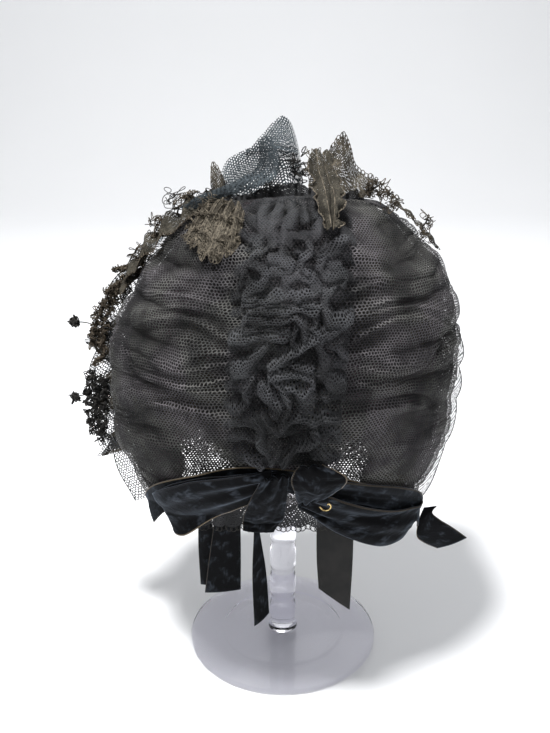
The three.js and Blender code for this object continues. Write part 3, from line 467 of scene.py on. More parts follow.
def woven_edge():
    """The selvedge along both sides of a ribbon, with its little loops. Share runs from 0 to 1 across it."""
    tree, g, given, out = effect("woven_edge", dict(
        Share=(VECTOR, None), Cloth=(VECTOR, None), Width=(NUMBER, 0.03)), ["Mask", "Height"])
    x = g.split(given["Share"])["X"]
    side = g.math("SUBTRACT", 0.5, g.math("ABSOLUTE", g.math("SUBTRACT", x, 0.5)))
    along = g.split(given["Cloth"])["Y"]
    loops = g.math("SINE", g.math("MULTIPLY", along, 2 * math.pi / (SELVEDGE_PITCH * MM)))
    width = g.math("MULTIPLY", given["Width"], g.ramp(loops, -1.0, 1.0, 0.7, 1.25))
    g.set(out["Mask"], g.ramp(g.math("DIVIDE", side, width), 0.85, 1.1, 1.0, 0.0))
    g.set(out["Height"], g.ramp(loops, -1.0, 1.0))
    return tree


def even_weave():
    """A plain weave, as height."""
    tree, g, given, out = effect("even_weave", dict(Cloth=(VECTOR, None), Pitch=(NUMBER, 0.6)), ["Height"])
    turns = g.vector("SCALE", given["Cloth"], scale=g.math("DIVIDE", math.pi / MM, given["Pitch"]))
    at = g.split(turns)
    crossed = g.math("MULTIPLY", g.math("SINE", at["X"]), g.math("SINE", at["Y"]))
    g.set(out["Height"], g.math("ABSOLUTE", crossed))
    return tree


NET = net_threads()
LACE = lace_work(NET)
PILE = pile_tufts_and_sheen()
EDGE = woven_edge()
WEAVE = even_weave()


def new_material(name, roughness, **sockets):
    """A material with one shader. Gives the material, its nodes and the shader's sockets."""
    material = bpy.data.materials.new(name)
    material.use_nodes = True
    material.node_tree.nodes.clear()
    g = Nodes(material.node_tree)
    shader = g.add("ShaderNodeBsdfPrincipled")
    result = g.add("ShaderNodeOutputMaterial")
    g.tree.links.new(shader.outputs[0], result.inputs["Surface"])
    shader.inputs["Roughness"].default_value = roughness
    for label, value in sockets.items():
        shader.inputs[label.replace("_", " ")].default_value = value
    return material, g, shader.inputs


OLIVE_SHIFT, PURPLE_SHIFT = (0, -0.03, -0.13), (0.05, -0.07, -0.01)


def net_material(name, dark, light, thread, pitch=NET_PITCH, tint=None):
    """Net over clear holes. A tinted one is a folded net with painted shade: darker in its fold valleys,
    and olive and purple in patches."""
    material, g, shader = new_material(name, 0.8, Specular_IOR_Level=0.25)
    where = g.where()
    net = g.group(NET, Cloth=g.uv("cloth"), Pitch=pitch, Thread=thread)
    tone = g.ramp(g.noise(where, 45.0, 3.0), 0.35, 0.65)
    edge_on = g.add("ShaderNodeLayerWeight")
    edge_on.inputs["Blend"].default_value = 0.5
    grazing = g.ramp(edge_on.outputs["Facing"], 0.7, 1.0)
    colour = g.blend(tone, dark, light)
    if tint is not None:
        height = g.split(g.uv("height"))["X"]
        # painted shade: the net's colour is darkened in its fold valleys, following the fold height
        colour = g.vector("SCALE", colour, scale=g.ramp(height, 0.0, 0.75, 0.3, 1.12))
        olive, purple = ([1 + tint * c for c in shift] + [1] for shift in (OLIVE_SHIFT, PURPLE_SHIFT))
        patches = g.blend(g.ramp(g.noise(where, 24.0, 2.0), 0.42, 0.58), olive, purple)
        colour = g.vector("MULTIPLY", colour, patches)
    g.set(shader["Base Color"], colour)
    g.set(shader["Alpha"], g.math("MAXIMUM", net["Mask"], g.math("MULTIPLY", grazing, 0.6)))
    g.set(shader["Normal"], g.bump(net["Height"], 0.0004, 0.7))
    return material


def solid_net_material(name, dark, light, thread):
    """Net over a dark ground that closes its holes."""
    material, g, shader = new_material(name, 0.85, Specular_IOR_Level=0.2)
    net = g.group(NET, Cloth=g.uv("cloth"), Pitch=NET_PITCH, Thread=thread)
    g.set(shader["Base Color"], g.blend(net["Mask"], dark, light))
    g.set(shader["Normal"], g.bump(net["Height"], 0.0005, 0.6))
    return material


def lace_material(name, dark, light):
    material, g, shader = new_material(name, 0.9, Specular_IOR_Level=0.15)
    lace = g.group(LACE, Cloth=g.uv("cloth"), Size=LACE_LEAF)
    worn = g.noise(g.where(), 90.0, 3.0)
    tone = g.math("MULTIPLY", lace["Tone"], g.ramp(worn, 0.3, 0.65, 0.35, 1.1), clamp=True)
    g.set(shader["Base Color"], g.blend(tone, dark, light))
    g.set(shader["Alpha"], lace["Mask"])
    g.set(shader["Normal"], g.bump(lace["Height"], 0.0006, 0.8))
    return material


def cord_material(name, dark, light):
    material, g, shader = new_material(name, 0.9, Specular_IOR_Level=0.15)
    where = g.where()
    tone = g.ramp(g.noise(where, 260.0, 3.0), 0.3, 0.7)
    g.set(shader["Base Color"], g.blend(tone, dark, light))
    g.set(shader["Normal"], g.bump(g.noise(where, 1800.0, 2.0), 0.0004, 0.8))
    return material


def velvet_material(name, upper_edge, lower_edge):
    """Black velvet with a painted bluish sheen on its crushed patches, and the colours of its selvedges."""
    material, g, shader = new_material(
        name, 0.85, Sheen_Weight=0.3, Sheen_Roughness=0.35, Sheen_Tint=(0.5, 0.6, 0.75, 1),
        Specular_IOR_Level=0.1)
    cloth, share = g.uv("cloth"), g.uv("share")
    pile = g.group(PILE, Cloth=cloth)
    edge = g.group(EDGE, Share=share, Cloth=cloth, Width=0.026)
    # painted sheen: the crushed patches of pile lighten the base colour to a bluish highlight
    crushed = g.math("MULTIPLY", pile["Crushed"], 0.8)
    nap_and_painted_sheen = g.blend(crushed, (0.0015, 0.0016, 0.002, 1), (0.045, 0.053, 0.066, 1))
    upper = g.ramp(g.split(share)["X"], 0.45, 0.55, 1.0, 0.0)
    selvedge = g.blend(upper, lower_edge, upper_edge)
    g.set(shader["Base Color"], g.blend(edge["Mask"], nap_and_painted_sheen, selvedge))
    g.set(shader["Normal"], g.bump(pile["Height"], 0.0006, 0.6))
    return material


def ribbon_back_material():
    material, g, shader = new_material("ribbon_back", 0.8, Specular_IOR_Level=0.2)
    weave = g.group(WEAVE, Cloth=g.uv("cloth"), Pitch=0.5)
    tone = g.ramp(g.noise(g.where(), 70.0, 2.0), 0.3, 0.7)
    g.set(shader["Base Color"], g.blend(tone, (0.014, 0.014, 0.014, 1), (0.024, 0.023, 0.022, 1)))
    g.set(shader["Normal"], g.bump(weave["Height"], 0.0002, 0.5))
    return material


# Where the lining is worn to holes at the nape: middle and reach, as shares of its width
WORN_PLACES = [(0.355, 0.08), (0.63, 0.055)]


def lining_material():
    """Brown cloth with olive and purple patches, worn to small holes at two places."""
    material, g, shader = new_material("brown_lining", 0.9, Specular_IOR_Level=0.15)
    where = g.where()
    weave = g.group(WEAVE, Cloth=g.uv("cloth"), Pitch=0.8)
    patches = g.ramp(g.noise(where, 22.0, 2.0), 0.42, 0.58)
    tone = g.noise(where, 120.0, 4.0)
    olive = g.blend(tone, (0.014, 0.013, 0.009, 1), (0.08, 0.07, 0.046, 1))
    purple = g.blend(tone, (0.016, 0.011, 0.013, 1), (0.09, 0.056, 0.07, 1))
    g.set(shader["Base Color"], g.blend(patches, olive, purple))
    share = g.split(g.uv("share"))
    bare = 0.0
    for middle, reach in WORN_PLACES:
        off = g.math("ABSOLUTE", g.math("SUBTRACT", share["X"], middle))
        bare = g.math("MAXIMUM", bare, g.ramp(off, 0.5 * reach, reach, 1.0, 0.0))
    bare = g.math("MULTIPLY", bare, g.ramp(share["Y"], 0.0, 0.2, 0.54, 0.25))
    g.set(shader["Alpha"], g.ramp(g.math("SUBTRACT", g.noise(where, 520.0, 1.0), bare), -0.02, 0.02))
    g.set(shader["Normal"], g.bump(weave["Height"], 0.0004, 0.5))
    return material


def acrylic_material(name, bend, tint):
    material, g, shader = new_material(name, 0.03, IOR=bend, Transmission_Weight=1.0, Base_Color=tint)
    scuffs = g.noise(g.where(), 300.0, 4.0)
    g.set(shader["Roughness"], g.ramp(scuffs, 0.45, 0.75, 0.02, 0.12))
    return material


def brass_material():
    material, g, shader = new_material("brass", 0.35, Metallic=1.0)
    tarnish = g.ramp(g.noise(g.where(), 900.0, 3.0), 0.4, 0.65)
    g.set(shader["Base Color"], g.blend(tarnish, (0.78, 0.6, 0.28, 1), (0.4, 0.27, 0.11, 1)))
    g.set(shader["Roughness"], g.ramp(tarnish, 0.0, 1.0, 0.25, 0.5))
    return material


# Colours of the finishes, dark and light, and the nets' thread and pitch
NETS = dict(
    crown_net=dict(dark=(0.026, 0.0265, 0.0275, 1), light=(0.095, 0.096, 0.097, 1), thread=0.3, tint=0.7),
    # painted shade: the ruching's net is a darker copy of the crown's, standing in for the shade in its tight
    # gathers
    ruche_net=dict(dark=(0.013, 0.0135, 0.015, 1), light=(0.046, 0.048, 0.052, 1), thread=0.36, tint=0.2),
    under_net=dict(dark=(0.007, 0.007, 0.0075, 1), light=(0.02, 0.018, 0.019, 1), thread=0.5, pitch=2.2),
    curtain_net=dict(dark=(0.012, 0.012, 0.013, 1), light=(0.04, 0.041, 0.044, 1), thread=0.8, pitch=2.0),
    frill_net=dict(dark=(0.02, 0.021, 0.024, 1), light=(0.05, 0.053, 0.058, 1), thread=0.3, pitch=2.1),
    grey_net=dict(dark=(0.04, 0.051, 0.058, 1), light=(0.085, 0.106, 0.118, 1), thread=0.31, pitch=1.9),
    # painted shade: the falling net strip's net is a darker copy of the grey net, for the shade in its folds
    folded_net_painted_shade=dict(dark=(0.018, 0.023, 0.027, 1), light=(0.055, 0.068, 0.077, 1), thread=0.46, pitch=2.1),
)
LACES = dict(
    tan_lace=dict(dark=(0.012, 0.01, 0.008, 1), light=(0.16, 0.14, 0.108, 1)),
    brown_lace=dict(dark=(0.01, 0.009, 0.007, 1), light=(0.075, 0.067, 0.052, 1)),
)
CORDS = dict(
    tan_cord=dict(dark=(0.045, 0.038, 0.029, 1), light=(0.19, 0.163, 0.125, 1)),
    brown_cord=dict(dark=(0.022, 0.018, 0.013, 1), light=(0.11, 0.09, 0.068, 1)),
    dark_cord=dict(dark=(0.012, 0.012, 0.012, 1), light=(0.04, 0.038, 0.035, 1)),
)
TAN_EDGE, WORN_EDGE, DARK_EDGE = (0.14, 0.11, 0.075, 1), (0.045, 0.038, 0.03, 1), (0.008, 0.008, 0.009, 1)
FINISHES = dict(
    under_net_solid=solid_net_material(
        "under_net_solid", (0.012, 0.011, 0.012, 1), (0.05, 0.05, 0.054, 1), 0.4),
    brown_lining=lining_material(),
    velvet=velvet_material("black_velvet", TAN_EDGE, WORN_EDGE),
    velvet_low=velvet_material("velvet_low", DARK_EDGE, TAN_EDGE),
    velvet_dark=velvet_material("velvet_dark", WORN_EDGE, DARK_EDGE),
    ribbon_back=ribbon_back_material(),
    acrylic=acrylic_material("clear_acrylic", 1.45, (0.95, 0.945, 1.0, 1)),
    foot_acrylic=acrylic_material("foot_acrylic", 1.12, (0.965, 0.96, 1.0, 1)),
    brass=brass_material(),
)
for make, finishes in ((net_material, NETS), (lace_material, LACES), (cord_material, CORDS)):
    for name, values in finishes.items():
        FINISHES[name] = make(name, **values)

# Meshes


def new_piece(name, points, faces, finish, nodes=(), uvs=None):
    """A mesh piece that rides on the part, in place of the CAD nodes it names."""
    mesh = bpy.data.meshes.new(name)
    points = np.asarray(points, float).reshape(-1, 3)
    mesh.from_pydata((points * MM).tolist(), [], faces.tolist() if hasattr(faces, "tolist") else faces)
    mesh.update()
    if uvs:
        corners = np.zeros(len(mesh.loops), int)
        mesh.loops.foreach_get("vertex_index", corners)
        for label, uv in uvs.items():
            layer = mesh.uv_layers.new(name=label)
            layer.data.foreach_set("uv", np.asarray(uv, float).reshape(-1, 2)[corners].ravel())
    mesh.polygons.foreach_set("use_smooth", [True] * len(mesh.polygons))
    mesh.materials.append(FINISHES[finish])
    piece = bpy.data.objects.new(name, mesh)
    bpy.context.scene.collection.objects.link(piece)
    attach(piece, "root")
    if nodes:
        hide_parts(*nodes)
    return piece


def grid_faces(columns, rows, start=0, flip=False):
    wide = columns + 1
    a = (np.arange(rows)[:, None] * wide + np.arange(columns)[None]).ravel() + start
    quads = np.stack([a, a + 1, a + 1 + wide, a + wide], axis=1)
    return quads[:, ::-1] if flip else quads


def cloth_sizes(points):
    """Arc lengths over the cloth, in metres, and its mean width and length."""
    across = np.linalg.norm(np.diff(points, axis=1), axis=-1)
    along = np.linalg.norm(np.diff(points, axis=0), axis=-1)
    x = np.concatenate([np.zeros((len(points), 1)), np.cumsum(across, axis=1)], axis=1)
    x = x - x[:, x.shape[1] // 2][:, None]
    y = np.concatenate([np.zeros((1, points.shape[1])), np.cumsum(along, axis=0)], axis=0)
    return np.stack([x, y], axis=-1) * MM, (across.sum(axis=1).mean() * MM, along.sum(axis=0).mean() * MM)


def grid_normals(points):
    across = np.gradient(points, axis=1)
    along = np.gradient(points, axis=0)
    return unit(np.cross(across, along))


def cloth_piece(name, points, finish, nodes=(), wall=0.0,
                form=None, full=(1, 1), height=None):
    """A sheet of cloth from a grid of points: one layer, or a closed wall about it. form is the same grid
    without its folds, which the net's threads follow, and full is how much more cloth there is than form,
    each way. height is 0 in the deepest folds and 1 on the tallest."""
    points = np.asarray(points, float) + np.array([BONNET_SHIFT, 0, 0])
    rows, columns = points.shape[0] - 1, points.shape[1] - 1
    arcs, flat = cloth_sizes(points)
    if form is not None:
        arcs = cloth_sizes(form)[0] * np.array(full)
    shares = np.stack(spread(columns, rows), axis=-1)
    faces = grid_faces(columns, rows)
    if wall:
        normal = grid_normals(points)
        count = (rows + 1) * (columns + 1)
        rim = np.concatenate([
            np.arange(columns), columns + (columns + 1) * np.arange(rows),
            count - 1 - np.arange(columns), count - 1 - columns - (columns + 1) * np.arange(rows)])
        after = np.roll(rim, -1)
        sides = np.stack([after, rim, rim + count, after + count], axis=1)
        faces = np.concatenate([faces, grid_faces(columns, rows, count, True), sides])
        points = np.concatenate([points + normal * wall / 2, points - normal * wall / 2])
        arcs, shares = np.concatenate([arcs, arcs]), np.concatenate([shares, shares])
    maps = dict(cloth=arcs, share=shares)
    if height is not None:
        maps["height"] = np.stack([np.clip(height, 0, 1), 0 * height], axis=-1)
    piece = new_piece(name, points, faces, finish, nodes, maps)
    flat = [max(0.01, round(side, 4)) for side in flat]
    return piece


def tube_piece(name, paths, radius, finish, nodes=(), sides=5):
    """Round threads along paths of points, with closed ends, as one piece."""
    points, faces, at = [], [], 0
    angle = np.linspace(0, 2 * math.pi, sides, endpoint=False)
    cos, sin = np.cos(angle)[None, :, None], np.sin(angle)[None, :, None]
    for path in paths:
        path = np.asarray(path, float) + np.array([BONNET_SHIFT, 0, 0])
        ahead = unit(np.gradient(path, axis=0))
        side = unit(np.cross(ahead, np.array([0.3, 0.9, 0.31])))
        up = np.cross(ahead, side)
        ring = path[:, None] + radius * (side[:, None] * cos + up[:, None] * sin)
        count = len(path)
        points.append(ring.reshape(-1, 3))
        for j in range(count - 1):
            for i in range(sides):
                a, b = at + j * sides + i, at + j * sides + (i + 1) % sides
                faces.append([a, b, b + sides, a + sides])
        faces.append([at + i for i in range(sides)][::-1])
        faces.append([at + (count - 1) * sides + i for i in range(sides)])
        at += count * sides
    return new_piece(name, np.concatenate(points), faces, finish, nodes)


def lathe_piece(name, profile, finish, nodes, sides):
    """A turned piece about the stem's axis, from radius and height pairs that start and end on the axis."""
    profile = np.asarray(profile, float)
    angle = np.linspace(0, 2 * math.pi, sides, endpoint=False)
    inner = profile[1:-1]
    rings = np.stack([inner[:, :1] * np.cos(angle), inner[:, :1] * np.sin(angle),
                      np.repeat(inner[:, 1:], sides, axis=1)], axis=-1).reshape(-1, 3)
    points = np.concatenate([rings, [[0, 0, profile[0, 1]], [0, 0, profile[-1, 1]]]])
    foot, head = len(rings), len(rings) + 1
    faces = []
    for i in range(sides):
        k = (i + 1) % sides
        faces.append([foot, k, i])
        last = (len(inner) - 1) * sides
        faces.append([head, last + i, last + k])
        for j in range(len(inner) - 1):
            a, b = j * sides + i, j * sides + k
            faces.append([a, b, b + sides, a + sides])
    sharp_edges(new_piece(name, points, faces, finish, nodes))


SHARP_ANGLE = 38


def sharp_edges(piece):
    """Shades a piece smooth except at its corners."""
    for other in bpy.context.selected_objects:
        other.select_set(False)
    bpy.context.view_layer.objects.active = piece
    piece.select_set(True)
    bpy.ops.object.shade_smooth_by_angle(angle=math.radians(SHARP_ANGLE))
    piece.select_set(False)


# Crown


CROWN_SEED = 11
# the relief's valley floor and puff top: where the net's painted shade is darkest and where it ends
VALLEY_FLOOR, PUFF_TOP = -5.5, 3  # of the crown's relief
LAYER_GAP = 3  # from the outer net to the one under it


def make_crown():
    u, v = spread(300, 310)
    relief = crown_relief(u, v, CROWN_SEED)
    outer = crown_form(u, v) + crown_normal(u, v) * relief[..., None]
    cloth_piece("crown_net", outer, "crown_net", ["crown"],
                form=crown_form(u, v), full=(1, 1.15),
                height=(relief - VALLEY_FLOOR) / (PUFF_TOP - VALLEY_FLOOR))
    u, v = spread(110, 120)
    off = crown_relief(u, v, CROWN_SEED) - LAYER_GAP + 0.8 * noise(u * 9, v * 9, 5)
    inner = crown_form(u, v) + crown_normal(u, v) * off[..., None]
    cloth_piece("crown_net_under", inner, "under_net",
                form=crown_form(u, v), full=(1.03, 1.1))


# The lining's edge at the nape, which leaves two places bare
LINING_EDGE = [dict(turn=turn, seam=seam) for turn, seam in (
    (-1, -0.03), (-0.6, -0.02), (-0.47, 0.03), (-0.38, 0.09), (-0.3, 0.13), (-0.22, 0.1), (-0.12, 0.05),
    (0.12, 0.05), (0.19, 0.1), (0.27, 0.1), (0.34, 0.02), (0.5, -0.04), (1, -0.06))]


def make_under_crown():
    rest = NET_WALL / 2 + 3 * CLEARANCE + LINING_WALL / 2
    u, v = spread(150, 70)
    turn = 2 * u - 1
    from_middle = np.abs(turn)
    worn = (0.03 * noise(turn * 14, 0.5, 23) + 0.016 * noise(turn * 44, 0.5, 22)) * (1 - smooth(v, 0, 0.12))
    worn = worn * (1 - smooth(from_middle, 0.42, 0.55))
    seam = mix(column(LINING_EDGE, "seam", turn) + worn, 1, v)
    under_folds = 1.15 * FOLD_DEPTH * (1 - smooth(seam, 0.9, 1)) * (1 - 0.6 * smooth(from_middle, 0.85, 1))
    free = (1 - smooth(from_middle, 0.75, 1)) * (1 - smooth(seam, 0.86, 1))
    off = -rest - under_folds - (LINING_GAP - FOLD_DEPTH) * free + 0.8 * noise(turn * 6, seam * 8, 21)
    cloth_piece("under_crown_cloth", place(turn, seam, off), "brown_lining", ["under_crown"],
                wall=LINING_WALL)


RUCHE_START, RUCHE_END = 0.195, 0.915
RUCHE_OFF = NET_WALL / 2 + CLEARANCE + RUCHE_WALL / 2


def ruche_half(seam):
    """Half of the ruching's width, and half of the crown's, in one row."""
    width = column(CROWN_SECTIONS, "width", seam) * CROWN_HALF_WIDTH
    return np.minimum(RUCHE_HALF_WIDTH, 0.8 * width), width


def ruche_turn(share, seam):
    half, width = ruche_half(seam)
    return np.arcsin(share * half / width) / row_turn(seam)


RUCHE_FULL = 1.9  # length of net to the length that it is gathered to
RUCHE_STAND = 1.25  # of its tallest folds, as a share of RUCHE_RISE
RUCHE_SPREAD, RUCHE_WANDER = 1.16, 0.12  # where its sides lie, in shares of its half width
RUCHE_SINK = 4.2  # how far its sides sink into the crown's net
GATHER_PITCH = 9.5
# The folds that stand up from the gathers: half of each one's width in mm, its height as a share, and its
# line, in shares of the ruching's half width and seam shares
RUCHE_FOLDS = [
    (4.4, 0.9, [(-0.1, 0.9), (-0.07, 0.845), (-0.12, 0.807)]),
    (3.0, 0.8, [(0.13, 0.89), (0.1, 0.86), (0.14, 0.82)]),
    (2.8, 0.85, [(-0.02, 0.91), (0.08, 0.9), (0.24, 0.905)]),
    (3.0, 0.85, [(-0.34, 0.91), (-0.22, 0.89), (-0.24, 0.86)]),
    (2.8, 0.8, [(0.28, 0.88), (0.26, 0.85), (0.33, 0.83)]),
    (4.3, 0.8, [(-0.51, 0.882), (-0.61, 0.835), (-0.6, 0.792), (-0.66, 0.77)]),
    (3.7, 0.8, [(-0.22, 0.892), (-0.31, 0.855), (-0.44, 0.807), (-0.4, 0.765)]),
    (3.1, 0.8, [(-0.21, 0.807), (-0.21, 0.775), (-0.26, 0.742)]),
    (2.8, 1, [(-0.6, 0.752), (-0.71, 0.737), (-0.76, 0.72), (-0.59, 0.715), (-0.49, 0.702), (-0.55, 0.677),
        (-0.74, 0.667), (-0.86, 0.652), (-0.66, 0.652)]),
    (4.0, 0.9, [(-0.46, 0.727), (-0.29, 0.73), (-0.12, 0.715), (-0.29, 0.705), (-0.42, 0.71)]),
    (2.4, 1, [(-0.11, 0.765), (-0.11, 0.782), (0.0, 0.787), (0.14, 0.775), (0.23, 0.75), (0.09, 0.732),
        (0.08, 0.712), (0.18, 0.702)]),
    (3.7, 0.9, [(-0.18, 0.667), (-0.19, 0.69), (0.04, 0.695), (0.24, 0.685), (0.35, 0.67)]),
    (3.1, 1, [(0.8, 0.775), (0.62, 0.757), (0.46, 0.742), (0.39, 0.715), (0.48, 0.697), (0.68, 0.7),
        (0.81, 0.695), (0.74, 0.68)]),
    (4.3, 0.85, [(0.54, 0.73), (0.64, 0.712)]),
    (3.4, 0.95, [(0.61, 0.677), (0.49, 0.655), (0.49, 0.622), (0.59, 0.597), (0.84, 0.593), (0.99, 0.61)]),
    (2.5, 1, [(-0.44, 0.65), (-0.11, 0.662), (0.05, 0.652), (0.21, 0.66), (0.38, 0.665)]),
    (2.5, 0.85, [(-0.88, 0.635), (-0.56, 0.642), (-0.19, 0.637), (0.15, 0.637), (0.4, 0.632)]),
    (2.8, 0.95, [(-0.75, 0.617), (-0.5, 0.627), (-0.25, 0.62), (0.04, 0.627), (0.33, 0.62)]),
    (2.8, 0.95, [(-0.84, 0.595), (-0.54, 0.605), (-0.27, 0.6), (0.01, 0.607), (0.15, 0.59), (0.23, 0.562)]),
    (2.5, 0.85, [(-0.79, 0.575), (-0.47, 0.585), (-0.09, 0.577)]),
    (3.1, 0.95, [(-0.99, 0.55), (-0.69, 0.557), (-0.36, 0.565), (-0.1, 0.565)]),
    (2.5, 0.9, [(0.05, 0.577), (0.0, 0.552), (0.11, 0.54)]),
    (3.7, 0.95, [(0.8, 0.585), (0.58, 0.573), (0.46, 0.552), (0.54, 0.52), (0.61, 0.5), (0.58, 0.475),
        (0.73, 0.45), (0.99, 0.44)]),
    (2.6, 1, [(0.43, 0.56), (0.23, 0.545), (0.03, 0.527), (-0.1, 0.512)]),
    (3.7, 0.9, [(-0.41, 0.542), (-0.49, 0.52), (-0.61, 0.5), (-0.71, 0.48), (-0.89, 0.472)]),
    (2.2, 0.95, [(-0.3, 0.492), (-0.15, 0.505), (0.1, 0.502), (0.41, 0.49)]),
    (2.4, 1, [(-0.29, 0.47), (-0.05, 0.477), (0.2, 0.482), (0.44, 0.47), (0.43, 0.447), (0.26, 0.435),
        (0.03, 0.445)]),
    (2.7, 1, [(-0.25, 0.47), (-0.11, 0.452), (0.0, 0.427), (0.08, 0.397), (0.01, 0.365)]),
    (4.3, 0.9, [(-0.4, 0.432), (-0.26, 0.415), (-0.09, 0.395), (-0.16, 0.377)]),
    (2.7, 0.9, [(-0.59, 0.465), (-0.67, 0.432), (-0.62, 0.402), (-0.76, 0.382), (-0.93, 0.375)]),
    (5.6, 0.75, [(0.29, 0.427), (0.41, 0.412), (0.34, 0.385)]),
    (2.9, 1, [(-0.04, 0.347), (0.12, 0.367), (0.26, 0.375), (0.44, 0.362), (0.69, 0.365), (0.95, 0.365),
        (1.12, 0.355)]),
    (3.7, 0.9, [(-0.62, 0.365), (-0.5, 0.355), (-0.38, 0.33), (-0.39, 0.29), (-0.26, 0.26)]),
    (3.1, 0.85, [(-0.36, 0.367), (-0.27, 0.345), (-0.1, 0.325), (-0.22, 0.302)]),
    (2.9, 1, [(0.48, 0.333), (0.59, 0.312), (0.43, 0.3), (0.25, 0.29), (0.12, 0.27), (0.01, 0.24)]),
    (2.5, 0.8, [(0.68, 0.417), (0.88, 0.42), (1.05, 0.41)]),
    (2.8, 0.8, [(0.71, 0.318), (0.9, 0.31), (1.09, 0.285)]),
    (3.1, 0.85, [(-0.22, 0.29), (-0.07, 0.272), (-0.19, 0.235)]),
    (3.4, 0.8, [(-0.61, 0.24), (-0.38, 0.213)]),
    (3.1, 0.8, [(-0.99, 0.8), (-0.8, 0.782)]),
    (2.5, 0.9, [(0.35, 0.607), (0.34, 0.58), (0.49, 0.567)]),
    (2.5, 0.8, [(-0.89, 0.697), (-0.95, 0.675)]),
    (3.1, 0.8, [(0.44, 0.855), (0.39, 0.812), (0.31, 0.775)]),
    (2.5, 0.8, [(0.64, 0.545), (0.86, 0.527), (1.02, 0.502)]),
    (3.1, 0.8, [(0.58, 0.258), (0.76, 0.232), (0.98, 0.215)]),
]


def line_distance(x, y, line):
    """How far each point lies from a line of points, and how far along the line that is."""
    nearest, along, run = np.full(x.shape, 1e9), np.zeros(x.shape), 0
    for (ax, ay), (bx, by) in zip(line[:-1], line[1:]):
        span = math.hypot(bx - ax, by - ay)
        t = np.clip(((x - ax) * (bx - ax) + (y - ay) * (by - ay)) / span ** 2, 0, 1)
        away = np.hypot(x - mix(ax, bx, t), y - mix(ay, by, t))
        along = np.where(away < nearest, run + t * span, along)
        nearest = np.minimum(nearest, away)
        run += span
    return nearest, along


def make_ruching():
    u, v = spread(170, 390)
    left, right = (RUCHE_SPREAD + RUCHE_WANDER * noise(v * 9, side, 38) for side in (0.5, 3.5))
    share, seam = mix(-left, right, u), mix(RUCHE_START - 0.02, RUCHE_END, v)
    x = share * ruche_half(seam)[0] + 0.9 * noise(share * 7, v * 30, 31)
    y = seam * CROWN_HEIGHT + 0.9 * noise(share * 7 + 9, v * 30, 32)
    slope = 6 * noise(share * 1.5, v * 7, 33)
    wave = np.abs(np.sin(math.pi * (y + slope + 0.1 * x * noise(v * 6, 0.5, 34)) / GATHER_PITCH))
    rise = 0.5 * wave ** 0.8 * (0.8 + 0.3 * noise(share * 3, v * 16, 35))
    for i, (width, height, line) in enumerate(RUCHE_FOLDS):
        middle = [(a * RUCHE_HALF_WIDTH, b * CROWN_HEIGHT) for a, b in line]
        away, along = line_distance(x, y, middle)
        uneven = 1 + 0.16 * noise(along / 5, i + 0.5, 36)
        round_top = np.clip(1 - (away / (width * uneven)) ** 2, 0, 1) ** 0.6
        rise = np.maximum(rise, 0.25 * (round_top > 0) + (height - 0.25) * round_top * uneven)
    edge = smooth(np.minimum(u, 1 - u), 0, 0.06) * smooth(v, 0, 0.04) * (1 - smooth(v, 0.96, 1))
    sunk = smooth(np.abs(share) + 0.16 * noise(share * 2, v * 14, 39), 0.72, 1.02)
    # the folds' height, which sets the ruching net's painted shade in its valleys
    height = rise + 0.1
    rise = rise * edge * RUCHE_STAND * RUCHE_RISE
    seam = seam - 3.2 * (rise / RUCHE_RISE) ** 1.5 / CROWN_HEIGHT
    rise = rise + 0.35 * noise(share * 16, v * 60, 37) * edge
    off = mix(-4, RUCHE_OFF - 0.8 + rise - RUCHE_SINK * sunk, smooth(edge, 0, 0.35))
    points = place(ruche_turn(share, seam), seam, off)
    plain_seam = mix(RUCHE_START, RUCHE_END, v)
    sizes = cloth_sizes(place(ruche_turn(share, plain_seam), plain_seam, RUCHE_OFF))[1]
    across, along = 1.3 * sizes[0] / MM, RUCHE_FULL * sizes[1] / MM
    flat = np.stack([u * across, 0 * u, v * along], axis=-1)
    cloth_piece("ruching_net", points, "ruche_net", ["centre_ruching"], form=flat, height=height)


# Brim, frill and curtain
FRILL_ROWS = [
    dict(at=0, width=0.8), dict(at=0.12, width=1.15), dict(at=0.24, width=0.8), dict(at=0.33, width=0.3),
    dict(at=0.5, width=0.1), dict(at=0.68, width=0.05), dict(at=0.76, width=0.3), dict(at=0.86, width=0.8),
    dict(at=1, width=0.6),
]
FRILL_STEPS = 800
FRILL_CORDS = dict(left=(0, 260), right=(586, 801))  # the steps along which its edge has a cord
FRILL_AHEAD = 1.5 * NET_WALL + CLEARANCE
BRIM_AHEAD = FRILL_AHEAD + 2 * NET_WALL + 2 * CLEARANCE


def make_frill():
    u, v = spread(12, FRILL_STEPS)
    scallops = 1 + 0.16 * np.abs(np.sin(math.pi * FRILL_WAVES * v + noise(v * 12, 0.5, 41))) - 0.1
    width = column(FRILL_ROWS, "width", v) * FRILL_WIDTH * scallops
    out = mix(-2, width, u)
    free = smooth(out, 0, FRILL_RIPPLE)
    wave = np.sin(2 * math.pi * FRILL_WAVES * v + 1.2 * noise(v * 16, 0.5, 42))
    ahead = FRILL_AHEAD + FRILL_RIPPLE * 0.5 * free * wave + 0.5 * noise(u * 3, v * 60, 43)
    points = by_hoop(v, out, ahead)
    cloth_piece("frill_net", points, "frill_net", ["brim_frill"])
    for side, (first, last) in FRILL_CORDS.items():
        tube_piece(f"frill_edge_{side}", [points[first:last, -1]], 0.35, "dark_cord")


